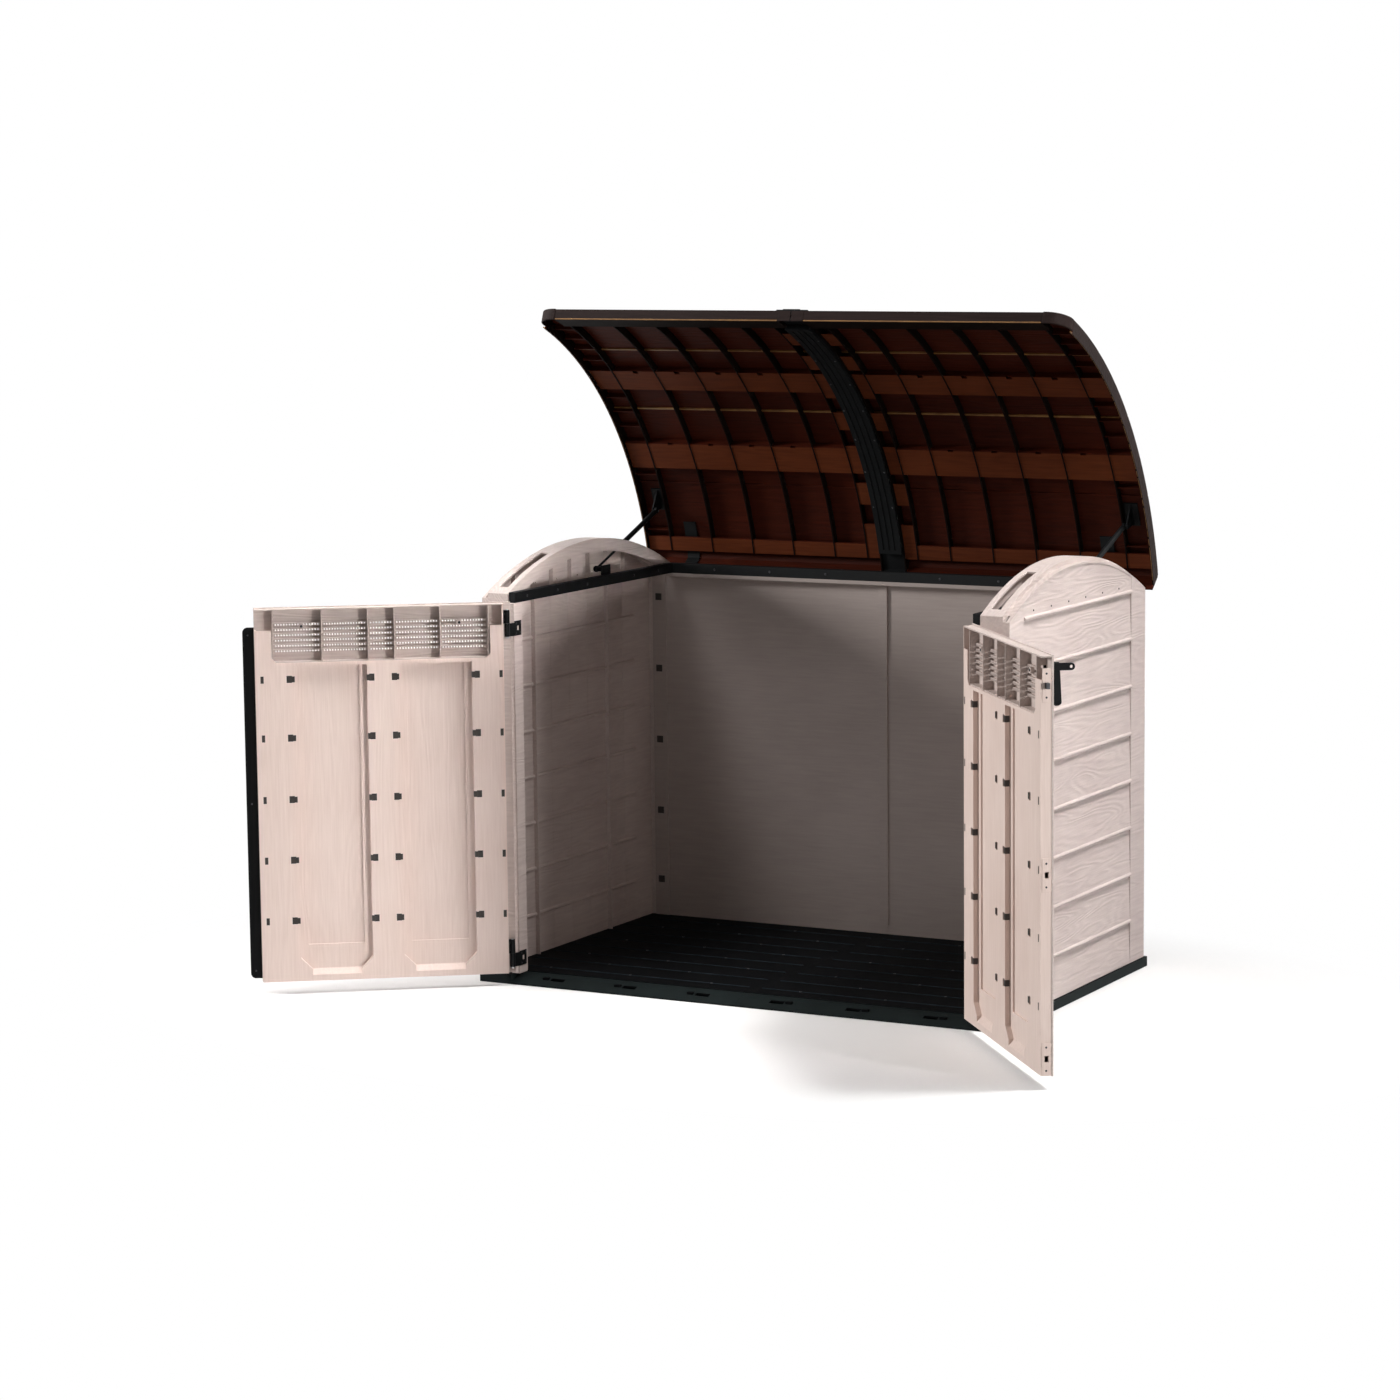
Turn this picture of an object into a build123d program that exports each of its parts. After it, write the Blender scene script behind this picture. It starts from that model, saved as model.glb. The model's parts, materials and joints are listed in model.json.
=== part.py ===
import math
import os

from build123d import *

os.makedirs("parts", exist_ok=True)

# Side walls: their width, length and height drive the other pieces
wall_out = 872.0
wall_t = 10.0
wall_in = wall_out - wall_t
wall_front = -503.0
wall_rear = 533.0
lap_pitch = 145.3
lap_step = 6.0
lap_bead = 1.5
lap_front = wall_front + 101.0
lap_rear = wall_rear - 113.0
rib_pitch = 115.0

# Base and floor
base_half = wall_out + 8.0
base_front = wall_front - 40.0
base_rear = wall_rear + 10.0
base_h = 30.0
deck_t = 6.0
skirt_t = 6.0
seam = 0.2
ramp_half = base_half - 111.0
ramp_rear = wall_front + 33.0
tongue = 30.0
tongue_h = 8.0

# Black rails along the wall tops
rail_z0 = 1168.0
rail_z1 = rail_z0 + 32.0
rail_w = 22.0
rail_t = 2.5
lap_top = rail_z0 + 7.4
back_top = rail_z0 + 12.0
back_in = wall_rear - 9.0

# Arched top of the side walls
arch_top = 1317.0
strip_r = 1164.0
shoulder_r = strip_r - 14.0
arch = (15.0, arch_top - strip_r)
arch_clear = arch_top + 80.0
strip_out = wall_out - 21.0
strip_in = strip_out - 70.0
slot_x = (strip_in + strip_out) / 2 - 1.0
slot_w = 30.0
slot_len = 258.0
slot_end = 34.0

# Jamb behind each door hinge
jamb_out = strip_in - 2.0
jamb_in = jamb_out - 27.0
jamb_front = wall_front - 15.0
jamb_rear = wall_front + 33.0
jamb_t = 5.0
rail_in = jamb_out - rail_w
rail_front = wall_front + 2.0
rail_rear = wall_rear - 17.0

# Lid, drawn shut and turned open about its rear pivot
pivot = (wall_rear + 32.0, rail_z0 - 20.0)
lid_open_deg = 49.15
lid_top = 1359.5
lid_r = 1135.0
lid_c = (3.7, lid_top - lid_r)
lid_t = 5.0
lid_half = wall_out + 13.0
lid_front = wall_front - 62.5
lid_back = pivot[0] - 19.0
lid_back_z = rail_z0 - 8.0
rim_depth = 33.0
skirt_r = lid_r - 42.0
skirt_front = wall_front + 3.0
flange = 58.0
beam_half = 40.0
beam_r = lid_r - 44.0
beam_low_r = lid_r - 24.0
cap_size = 70.0
cap_round = 62.0
lid_ribs = (203.0, 350.0, 497.0, 645.0)
ladder_x = lid_half - 87.0
rib_r = lid_r - 30.0
band_spans = ((-203.0, -110.0), (130.0, 225.0), (464.0, 506.0))
lid_laps = (-302.0, -3.0, 296.0)
seat_gap = 0.3

# Lid hinges
arm_x0 = rail_in - 49.0
arm_x1 = arm_x0 + 44.0
lug_t = 12.0
lug_r = 9.0
lid_pin_r = 4.5
running = 0.1

# Gas struts, in planes through the rear slots
foot = (100.0, rail_z1 + 15.0)
head_open = (pivot[0] - 65.0, pivot[1] + 222.0)
barrel_r = 8.0
rod_r = 4.0
barrel_len = 235.0
rod_len = 229.0
eye_r = 10.0
eye_t = 7.0
foot_pin_r = 5.0

# Doors, drawn shut and turned open about their pins
pin_x = jamb_in + 10.0
pin_y = jamb_front - 24.0
left_open_deg = 144.06
right_open_deg = 130.06
door_out = pin_y - 18.0
door_skin = door_out + 5.0
door_in = pin_y + 18.0
door_lip = pin_x + 11.0
door_z0 = base_h + 5.0
door_z1 = rail_z0 + 7.0
door_gap = 1.5
door_lap = 3.0
box_hinge = pin_x - 13.0
box_free = 3.0
box_z0 = door_z0 + 3.0
box_z1 = door_z1 - 3.0
panel_t = 4.0
pockets = ((432.0, 652.0), (119.0, 336.0))
pocket_z0 = 74.0
pocket_z1 = 1000.0
pocket_depth = 15.0
floor_depth = 20.0
pocket_corner = 34.0
window_x = (740.0, 668.0, 418.0, 350.0, 103.0, 22.0)
window_rows = (212.0, 390.0, 577.0, 762.0, 948.0)
vent_x = (704.0, 559.0, 421.0, 342.0, 203.0, 57.0)
vent_z0 = 1010.0
vent_z1 = 1108.0
vent_side = 5.0
louvre_top = 1126.0
louvre_pitch = 16.0
louvre_count = 6
louvre_h = 5.0
knuckle_r = 8.0
door_pin_r = 4.0
hinge_spans = ((1070.0, 1151.0), (55.0, 140.0))
hinge_names = ("upper", "lower")

# Latch on the right door
latch_x = 59.0
latch_z = 1137.0
grip_w = 22.0
grip_low = 1041.0
spindle_r = 5.0
bolt_z = 1093.0
bolt_y = -541.0
bolt_h = 16.0
bolt_w = 10.0
bolt_out = 12.0

shut = Plane.XY
lid_frame = Plane(Pos(0, *pivot) * Rot(-lid_open_deg, 0, 0) * Pos(0, -pivot[0], -pivot[1]))
left_frame = Plane(Pos(-pin_x, pin_y, 0) * Rot(0, 0, -left_open_deg) * Pos(pin_x, -pin_y, 0))
right_frame = Plane(Pos(pin_x, pin_y, 0) * Rot(0, 0, right_open_deg) * Pos(-pin_x, -pin_y, 0))
door_frames = {-1: left_frame, 1: right_frame}
words = {-1: "left", 1: "right"}


def save(piece, name):
    piece.part.label = name
    export_step(piece.part, f"parts/{name}.step")


def block(frame, side, xs, ys, zs, mode=Mode.ADD):
    middle = Pos(side * sum(xs) / 2, sum(ys) / 2, sum(zs) / 2)
    with Locations(frame.location * middle):
        Box(abs(xs[1] - xs[0]), abs(ys[1] - ys[0]), abs(zs[1] - zs[0]), mode=mode)


def blocks(frame, side, middles, size, mode=Mode.ADD):
    spots = [frame.location * Pos(side * x, y, z) for x, y, z in middles]
    with Locations(*spots):
        Box(*size, mode=mode)


def rod(frame, start, axis, radius, length, mode=Mode.ADD):
    origin = frame.from_local_coords(Vector(*start))
    heading = frame.from_local_coords(Vector(*start) + Vector(*axis)) - origin
    with Locations(Plane(origin=origin, z_dir=heading).location):
        Cylinder(radius, length, align=(Align.CENTER, Align.CENTER, Align.MIN), mode=mode)


def across(frame, x):
    return Plane(frame.from_local_coords(Vector(x, 0, 0)), x_dir=frame.y_dir, z_dir=frame.x_dir)


def slab(frame, side, points, xs, mode=Mode.ADD):
    low = min(side * xs[0], side * xs[1])
    with BuildSketch(across(frame, low)) as outline:
        with BuildLine():
            Polyline(*points, close=True)
        make_face()
    extrude(outline.sketch, amount=abs(xs[1] - xs[0]), mode=mode)


def on_arc(centre, radius, y):
    return (y, centre[1] + math.sqrt(radius ** 2 - (y - centre[0]) ** 2))


def arc_slab(frame, side, centre, radii, ys, xs, mode=Mode.ADD):
    low = min(side * xs[0], side * xs[1])
    inner, outer = radii
    middle = sum(ys) / 2
    with BuildSketch(across(frame, low)) as outline:
        with BuildLine():
            top0 = on_arc(centre, outer, ys[0])
            top1 = on_arc(centre, outer, ys[1])
            under0 = on_arc(centre, inner, ys[0])
            under1 = on_arc(centre, inner, ys[1])
            ThreePointArc(top0, on_arc(centre, outer, middle), top1)
            Line(top1, under1)
            ThreePointArc(under1, on_arc(centre, inner, middle), under0)
            Line(under0, top0)
        make_face()
    extrude(outline.sketch, amount=abs(xs[1] - xs[0]), mode=mode)


def above_arch(side, radius, xs):
    low = min(side * xs[0], side * xs[1])
    span = base_rear + 150
    with BuildSketch(across(shut, low)) as outline:
        with BuildLine():
            left = on_arc(arch, radius, -span)
            right = on_arc(arch, radius, span)
            ThreePointArc(left, on_arc(arch, radius, arch[0]), right)
            Polyline(right, (span, arch_clear + 200), (-span, arch_clear + 200), left)
        make_face()
    extrude(outline.sketch, amount=abs(xs[1] - xs[0]), mode=Mode.SUBTRACT)


def lid_point(radius, angle):
    return (lid_c[0] + radius * math.cos(angle), lid_c[1] + radius * math.sin(angle))


lid_a0 = math.acos((lid_front - lid_c[0]) / lid_r)


def lid_plane(y, x):
    angle = math.acos((y - lid_c[0]) / lid_r)
    spot = lid_point(lid_r, angle)
    outward = Vector(0, math.cos(angle), math.sin(angle))
    origin = lid_frame.from_local_coords(Vector(x, *spot))
    tip = lid_frame.from_local_coords(Vector(x, *spot) + outward)
    return Plane(origin, x_dir=lid_frame.x_dir, z_dir=tip - origin)


def lap_lines(bottom, top):
    lines = [lap_top - lap_pitch * k for k in range(9)]
    return sorted(z for z in lines if bottom + 5 < z < top - 12)


def lap_profile(bottom, top, face, back, reach):
    points = [(back, bottom), (face, bottom)]
    for line in lap_lines(bottom, top):
        points.append((face - reach, line))
        points.append((face + lap_bead, line))
        points.append((face + lap_bead, line + 7))
        points.append((face - 0.5, line + 10))
    points.append((face - 0.9 * reach, top))
    points.append((back, top))
    return points


def face_cut(frame, side, outline, depth):
    origin = frame.from_local_coords(Vector(0, door_in + 1, 0))
    with BuildSketch(Plane(origin, x_dir=frame.x_dir, z_dir=-frame.y_dir)) as recess:
        with BuildLine():
            Polyline(*[(side * x, z) for x, z in outline], close=True)
        make_face()
    extrude(recess.sketch, amount=depth + 1, mode=Mode.SUBTRACT)


def lid_box(y, x, size, drop, mode=Mode.ADD):
    with Locations(lid_plane(y, x).location * Pos(0, 0, -drop)):
        Box(*size, mode=mode)


# Floor halves: deck, skirts, ramp and ribs underneath
for side in (-1, 1):
    with BuildPart() as floor:
        under = base_h - deck_t
        block(shut, side, (seam, base_half), (ramp_rear, base_rear), (under, base_h))
        block(shut, side, (ramp_half, base_half), (base_front, ramp_rear), (under, base_h))
        block(shut, side, (base_half - skirt_t, base_half), (base_front, base_rear), (0, base_h))
        block(shut, side, (ramp_half, ramp_half + skirt_t), (base_front, ramp_rear), (0, base_h))
        block(shut, side, (ramp_half, base_half), (base_front, base_front + skirt_t), (0, base_h))
        block(shut, side, (seam, base_half), (base_rear - skirt_t, base_rear), (0, base_h))
        block(shut, side, (seam, seam + skirt_t), (base_front + 12, base_rear), (0, 9))
        block(shut, side, (seam, seam + skirt_t), (ramp_rear, base_rear), (0, base_h))
        ramp = [(base_front, 0), (base_front, 5), (ramp_rear, base_h), (ramp_rear, under)]
        slab(shut, side, ramp + [(base_front + 15, 4), (base_front + 15, 0)], (seam, ramp_half))
        ribs_y = [(base_half / 2, ramp_rear + 2 + 170 * k, under / 2) for k in range(6)]
        blocks(shut, side, ribs_y, (base_half - 14, 4, under))
        ribs_x = [(180 * k, (ramp_rear + base_rear) / 2, under / 2) for k in range(1, 5)]
        blocks(shut, side, ribs_x, (4, base_rear - ramp_rear - 4, under))
        grooves = [(base_half / 2, ramp_rear + 70 + 120 * k, base_h) for k in range(8)]
        blocks(shut, side, grooves, (base_half - 40, 5, 3), Mode.SUBTRACT)
        ramp_y = (base_front + ramp_rear) / 2
        slots = [(125 + 250 * k, ramp_y, base_h / 2) for k in range(3)]
        blocks(shut, side, slots, (46, 16, base_h), Mode.SUBTRACT)
        tabs = [(165 + 250 * k, ramp_y, base_h / 2 + 3) for k in range(3)]
        blocks(shut, side, tabs, (20, 12, 10))
        if side > 0:
            block(shut, side, (-tongue, 3), (-400, 400), (0, tongue_h))
        else:
            block(shut, side, (-3, tongue + 0.5), (-400.5, 400.5), (-1, tongue_h + 0.4), Mode.SUBTRACT)
    save(floor, f"floor_{words[side]}")

# Side walls: lap skin, posts, arched top with strip and slots, ribs inside
for side in (-1, 1):
    with BuildPart() as wall:
        siding = lap_profile(base_h, arch_clear, wall_out, wall_in, lap_step)
        back_end = Plane((0, lap_rear, 0), x_dir=(1, 0, 0), z_dir=(0, -1, 0))
        with BuildSketch(back_end) as skin:
            with BuildLine():
                Polyline(*[(side * x, z) for x, z in siding], close=True)
            make_face()
        extrude(skin.sketch, amount=lap_rear - lap_front)
        tall = (base_h, arch_clear)
        block(shut, side, (wall_in, wall_out), (wall_front, lap_front), tall)
        block(shut, side, (wall_in, wall_out), (lap_rear, wall_rear), tall)
        for k in range(7):
            rib_y = lap_front + 57 + rib_pitch * k
            block(shut, side, (wall_in - 14, wall_in + 1), (rib_y - 2, rib_y + 2), tall)
        for z in lap_lines(base_h, rail_z0):
            block(shut, side, (wall_in - 5, wall_in + 1), (lap_front, lap_rear), (z - 4, z + 3))
        block(shut, side, (wall_out - 70, wall_out), (wall_rear - 6, wall_rear), (base_h, back_top))
        above_arch(side, shoulder_r - 2, (strip_in + 9, wall_out + 5))
        block(shut, side, (jamb_out - jamb_t, wall_out), (wall_front, wall_front + 6), tall)
        above_arch(side, strip_r - 2, (strip_in, strip_out))
        above_arch(side, shoulder_r - 2, (strip_out, wall_out + 5))
        corner = (wall_front - 100, wall_front + 100)
        block(shut, side, (jamb_in + 8, strip_in), corner, (rail_z0, arch_clear + 10), Mode.SUBTRACT)
        span = (wall_front, wall_rear)
        arc_slab(shut, side, arch, (shoulder_r - 6, shoulder_r), span, (strip_out - 5, wall_out))
        arc_slab(shut, side, arch, (strip_r - 6, strip_r), span, (strip_in, strip_out))
        arc_slab(shut, side, arch, (shoulder_r - 6, strip_r), span, (strip_out - 5, strip_out))
        inner_span = (wall_front, wall_rear - 43)
        arc_slab(shut, side, arch, (strip_r - 40, strip_r), inner_span, (strip_in, strip_in + 5))
        slot_xs = (slot_x - slot_w / 2, slot_x + slot_w / 2)
        for y0 in (wall_front + slot_end, wall_rear - slot_end - slot_len):
            block(shut, side, slot_xs, (y0, y0 + slot_len), (rail_z0, arch_clear), Mode.SUBTRACT)
        peep_x = (strip_out + 3, strip_out + 10)
        peep_z = (rail_z0 - 18, rail_z0 + 52)
        block(shut, side, peep_x, (wall_front + 3, wall_front + 31), peep_z, Mode.SUBTRACT)
        jamb_z = (base_h, rail_z0)
        block(shut, side, (jamb_in, jamb_in + jamb_t), (jamb_front, jamb_rear), jamb_z)
        block(shut, side, (jamb_in, jamb_out), (jamb_front, jamb_front + jamb_t), jamb_z)
        block(shut, side, (jamb_out - jamb_t, jamb_out), (jamb_front, wall_front + 6), jamb_z)
        block(shut, side, (jamb_in, jamb_out), (jamb_front, jamb_rear), (rail_z0 - 6, rail_z0))
        for k in range(6):
            dot = (side * (wall_in - 2), lap_front + 72 + 130 * k, lap_top + 22)
            rod(shut, dot, (side, 0, 0), 3, 16, Mode.SUBTRACT)
    save(wall, f"{words[side]}_side_wall")

# Back wall halves with lap skin, rail ledge, hinge pad and seam tongue
for side in (-1, 1):
    with BuildPart() as back:
        back_half = wall_out - 71
        laps = lap_profile(base_h, back_top, wall_rear, back_in, lap_step)
        slab(shut, side, laps, (seam, back_half))
        corner = (back_half - 6, back_half + 44)
        block(shut, side, corner, (back_in - 4, wall_rear - 6.4), (base_h, rail_z0 - 3))
        ledge = (rail_rear - rail_w, back_in + 1)
        block(shut, side, (seam, jamb_out), ledge, (rail_z0 - 12, rail_z0))
        block(shut, side, (arm_x0 - 28, arm_x1 + 28), (back_in, wall_rear), (rail_z0 - 108, back_top))
        if side > 0:
            seam_z = (base_h + 30, rail_z0 - 14)
            block(shut, side, (-25, 4), (back_in - 7, back_in - 0.4), seam_z)
            block(shut, side, (seam, 4), (back_in - 7, back_in + 1), seam_z)
    save(back, f"back_wall_{words[side]}")

# Black rails along the wall tops
for side in (-1, 1):
    with BuildPart() as rail:
        rail_xs = (rail_in, rail_in + rail_w)
        block(shut, side, rail_xs, (rail_front, rail_rear), (rail_z0, rail_z1))
        hollow_x = (rail_in + rail_t, rail_in + rail_w - rail_t)
        hollow_z = (rail_z0 + rail_t, rail_z1 - rail_t)
        block(shut, side, hollow_x, (rail_front + 6, rail_rear + 5), hollow_z, Mode.SUBTRACT)
    save(rail, f"{words[side]}_top_rail")

with BuildPart() as rear_top_rail:
    block(shut, 1, (-rail_in, rail_in), (rail_rear - rail_w, rail_rear), (rail_z0, rail_z1))
    hollow_y = (rail_rear - rail_w + rail_t, rail_rear - rail_t)
    hollow_z = (rail_z0 + rail_t, rail_z1 - rail_t)
    block(shut, 1, (-rail_in - 5, rail_in + 5), hollow_y, hollow_z, Mode.SUBTRACT)
save(rear_top_rail, "rear_top_rail")

# Lid halves: skin with rim and skirts, ribs, cross bands and ladders inside
head = lid_frame.to_local_coords(Vector(0, *head_open))
near_x = beam_half + 48
for side in (-1, 1):
    with BuildPart() as lid:
        step = 6 / lid_r
        under_r = lid_r - lid_t
        rim_r = lid_r - rim_depth
        arc_end = on_arc(lid_c, lid_r, lid_back - 15)
        arc_in = on_arc(lid_c, under_r, lid_back - 17)
        top_start = lid_point(lid_r, lid_a0)
        under_start = lid_point(under_r, lid_a0 - step)
        with BuildSketch(across(lid_frame, min(side * beam_half, side * lid_half))) as profile:
            with BuildLine():
                ThreePointArc(top_start, on_arc(lid_c, lid_r, 0), arc_end)
                heel = [(lid_back, arc_end[1] - 14), (lid_back, lid_back_z), (lid_back - 5, lid_back_z)]
                Polyline(arc_end, *heel, (lid_back - 5, arc_in[1] - 12), arc_in)
                ThreePointArc(arc_in, on_arc(lid_c, under_r, 0), under_start)
                lip = (lid_point(rim_r, lid_a0 - step), lid_point(rim_r, lid_a0))
                Polyline(under_start, *lip, top_start)
            make_face()
        extrude(profile.sketch, amount=lid_half - beam_half)
        edge = (lid_half - lid_t, lid_half)
        inside = (beam_half, lid_half - 2)
        wide = lid_half - beam_half - 4
        middle = side * (beam_half + lid_half) / 2
        rim_y = lip[1][0]
        rear_y = lid_back - 3
        arc_slab(lid_frame, side, lid_c, (skirt_r, lid_r - 1), (skirt_front, rear_y), edge)
        arc_slab(lid_frame, side, lid_c, (rim_r, lid_r - 1), (rim_y + 4, skirt_front), edge)
        inner_wall = (beam_half, beam_half + 4)
        arc_slab(lid_frame, side, lid_c, (rib_r - 2, lid_r - 1), (rim_y + 4, rear_y), inner_wall)
        arc_slab(lid_frame, side, lid_c, (rim_r, rim_r + 4), (rim_y + 2, rim_y + flange), inside)
        rib_span = (rim_y + 3, lid_back - 41)
        for x in lid_ribs + (near_x, ladder_x):
            arc_slab(lid_frame, side, lid_c, (rib_r, under_r + 1), rib_span, (x - 2, x + 2))
        for y0, y1 in band_spans:
            arc_slab(lid_frame, side, lid_c, (rib_r + 2, rib_r + 6), (y0, y1), inside)
        for y0, y1 in band_spans[:2]:
            for y in (y0 + 3, y1 - 3):
                lid_box(y, middle, (wide, 4, 22), lid_t + 10)
        for k in range(15):
            rung_y = skirt_front + 45 + 65 * k
            if abs(rung_y - head.Y) > 50:
                lid_box(rung_y, side * (ladder_x + lid_half) / 2, (lid_half - ladder_x - 4, 4, 18), 14)
        for k in range(7):
            tie_y = skirt_front + 60 + 140 * k
            tie = (tie_y, tie_y + 75)
            arc_slab(lid_frame, side, lid_c, (rib_r + 2, rib_r + 5), tie, (beam_half + 3, near_x))
        for y in lid_laps:
            lid_box(y, middle, (wide, 6, 5), lid_t + 2)
            lid_box(y, middle, (lid_half - beam_half + 20, 6, 3), 0, Mode.SUBTRACT)
        for y0, y1 in band_spans:
            for x in lid_ribs:
                lid_box(y0, side * (x + 70), (18, 14, 10), 26, Mode.SUBTRACT)
        seat = lid_plane(lid_front + 30, side * (lid_half - cap_size / 2))
        with Locations(seat.location * Pos(side * 10, -23, 0)):
            Box(cap_size + 20.4, 114.4, 160, mode=Mode.SUBTRACT)
    save(lid, f"lid_{words[side]}_panel")

# Rounded caps on the front corners of the lid
for side in (-1, 1):
    with BuildPart() as cap:
        seat = lid_plane(lid_front + 30, side * (lid_half - cap_size / 2))
        with BuildSketch(seat.offset(-rim_depth - 1)) as plan:
            with Locations((0, -1)):
                Rectangle(cap_size, cap_size)
            outer = plan.vertices().sort_by(Axis.Y)[:2].sort_by(Axis.X)
            fillet(outer[-1] if side > 0 else outer[0], cap_round)
        extrude(plan.sketch, amount=rim_depth + 2.5)
        with BuildSketch(seat.offset(-rim_depth - 2)) as core:
            with Locations((-side * 5, 4)):
                Rectangle(cap_size, cap_size)
            outer = core.vertices().sort_by(Axis.Y)[:2].sort_by(Axis.X)
            fillet(outer[-1] if side > 0 else outer[0], cap_round - 5)
        extrude(core.sketch, amount=rim_depth - 3, mode=Mode.SUBTRACT)
    save(cap, f"lid_{words[side]}_corner_cap")

# Centre beam of the lid, with its cover strip and front bracket
with BuildPart() as lid_center_beam:
    half = beam_half - seam
    deep = (skirt_front, lid_back - 68)
    shallow = ((rim_y - 1, deep[0] + 1), (deep[1] - 1, lid_back - 5))
    cover = (lid_r + seat_gap, lid_r + 4)
    arc_slab(lid_frame, 1, lid_c, cover, (lid_front, lid_back - 16), (-half - 12, half + 12))
    for side in (-1, 1):
        arc_slab(lid_frame, side, lid_c, (beam_r, lid_r + 2), deep, (half - 5, half))
        for span in shallow:
            arc_slab(lid_frame, side, lid_c, (beam_low_r, lid_r + 2), span, (half - 5, half))
    arc_slab(lid_frame, 1, lid_c, (beam_r, beam_r + 5), deep, (-half, half))
    for span in shallow:
        arc_slab(lid_frame, 1, lid_c, (beam_low_r, beam_low_r + 5), span, (-half, half))
    for y in deep:
        arc_slab(lid_frame, 1, lid_c, (beam_r, beam_low_r + 5), (y - 2, y + 2), (-half, half))
    for x in (-half / 2, 0, half / 2):
        groove = (beam_r - 1, beam_r + 2.5)
        arc_slab(lid_frame, 1, lid_c, groove, (deep[0] + 10, deep[1] - 10), (x - 3, x + 3), Mode.SUBTRACT)
    tail = arc_end[1] - 8.5
    block(lid_frame, 1, (-half, half), (lid_back - 5, lid_back), (lid_back_z, tail - 2))
    block(lid_frame, 1, (-half, half), (lid_back - 16, lid_back), (tail - 8, tail))
    nose = lid_plane(lid_front, 0).location
    with Locations(nose * Pos(0, -4, -11)):
        Box(58, 8, 32)
    with Locations(nose * Pos(0, 12, -11)):
        Box(2 * half - 8, 30, 14)
    with Locations(nose * Pos(0, 0, -16)):
        Box(24, 60, 10, mode=Mode.SUBTRACT)
save(lid_center_beam, "lid_center_beam")

# Hinge arms under the lid, with the lugs and pins they turn on
for side in (-1, 1):
    with BuildPart() as arm:
        xs = (arm_x0, arm_x1)
        top_r = lid_r - lid_t - seat_gap
        skirt_in = lid_back - 5 - seat_gap
        arc_slab(lid_frame, side, lid_c, (top_r - 4, top_r), (lid_back - 116, lid_back - 21), xs)
        bend = [on_arc(lid_c, top_r, y) for y in (lid_back - 21, lid_back - 18)]
        turn_z = bend[1][1] - 22
        bend = bend + [(skirt_in, turn_z + 10), (skirt_in, turn_z), (lid_back - 9, turn_z)]
        bend = bend + [(lid_back - 9, turn_z + 8), (lid_back - 19, turn_z + 17)]
        slab(lid_frame, side, bend + [on_arc(lid_c, top_r - 5, lid_back - 21)], xs)
        block(lid_frame, side, xs, (lid_back - 9, skirt_in), (pivot[1] - 6, turn_z + 1))
        block(lid_frame, side, xs, (lid_back - 9, pivot[0]), (pivot[1] - 6, pivot[1] + 6))
        rod(lid_frame, (side * arm_x0, *pivot), (side, 0, 0), lug_r, arm_x1 - arm_x0)
        bore = lid_pin_r + running
        rod(lid_frame, (side * (arm_x0 - 1), *pivot), (side, 0, 0), bore, 60, Mode.SUBTRACT)
    save(arm, f"lid_{words[side]}_hinge_arm")
    with BuildPart() as bracket:
        pad_z = (pivot[1] - 72, pivot[1] - 6)
        block(shut, side, (arm_x0 - 20, arm_x1 + 20), (wall_rear, wall_rear + 5), pad_z)
        for x in (arm_x0 - 1 - lug_t, arm_x1 + 1):
            lug = [(wall_rear, pad_z[0] + 8), (wall_rear, pad_z[1])]
            lug = lug + [(pivot[0], pivot[1] + lug_r), (pivot[0] + lug_r, pivot[1] - 8)]
            slab(shut, side, lug, (x, x + lug_t))
            rod(shut, (side * x, *pivot), (side, 0, 0), lug_r, lug_t)
        rod(shut, (side * (arm_x0 - 28), *pivot), (side, 0, 0), lid_pin_r, 100, Mode.SUBTRACT)
    save(bracket, f"lid_{words[side]}_hinge_bracket")
    with BuildPart() as pin:
        rod(shut, (side * (arm_x0 - lug_t - 3), *pivot), (side, 0, 0), lid_pin_r, 74)
        rod(shut, (side * (arm_x0 - lug_t - 4), *pivot), (side, 0, 0), 7, 3)
    save(pin, f"lid_{words[side]}_hinge_pin")

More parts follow.
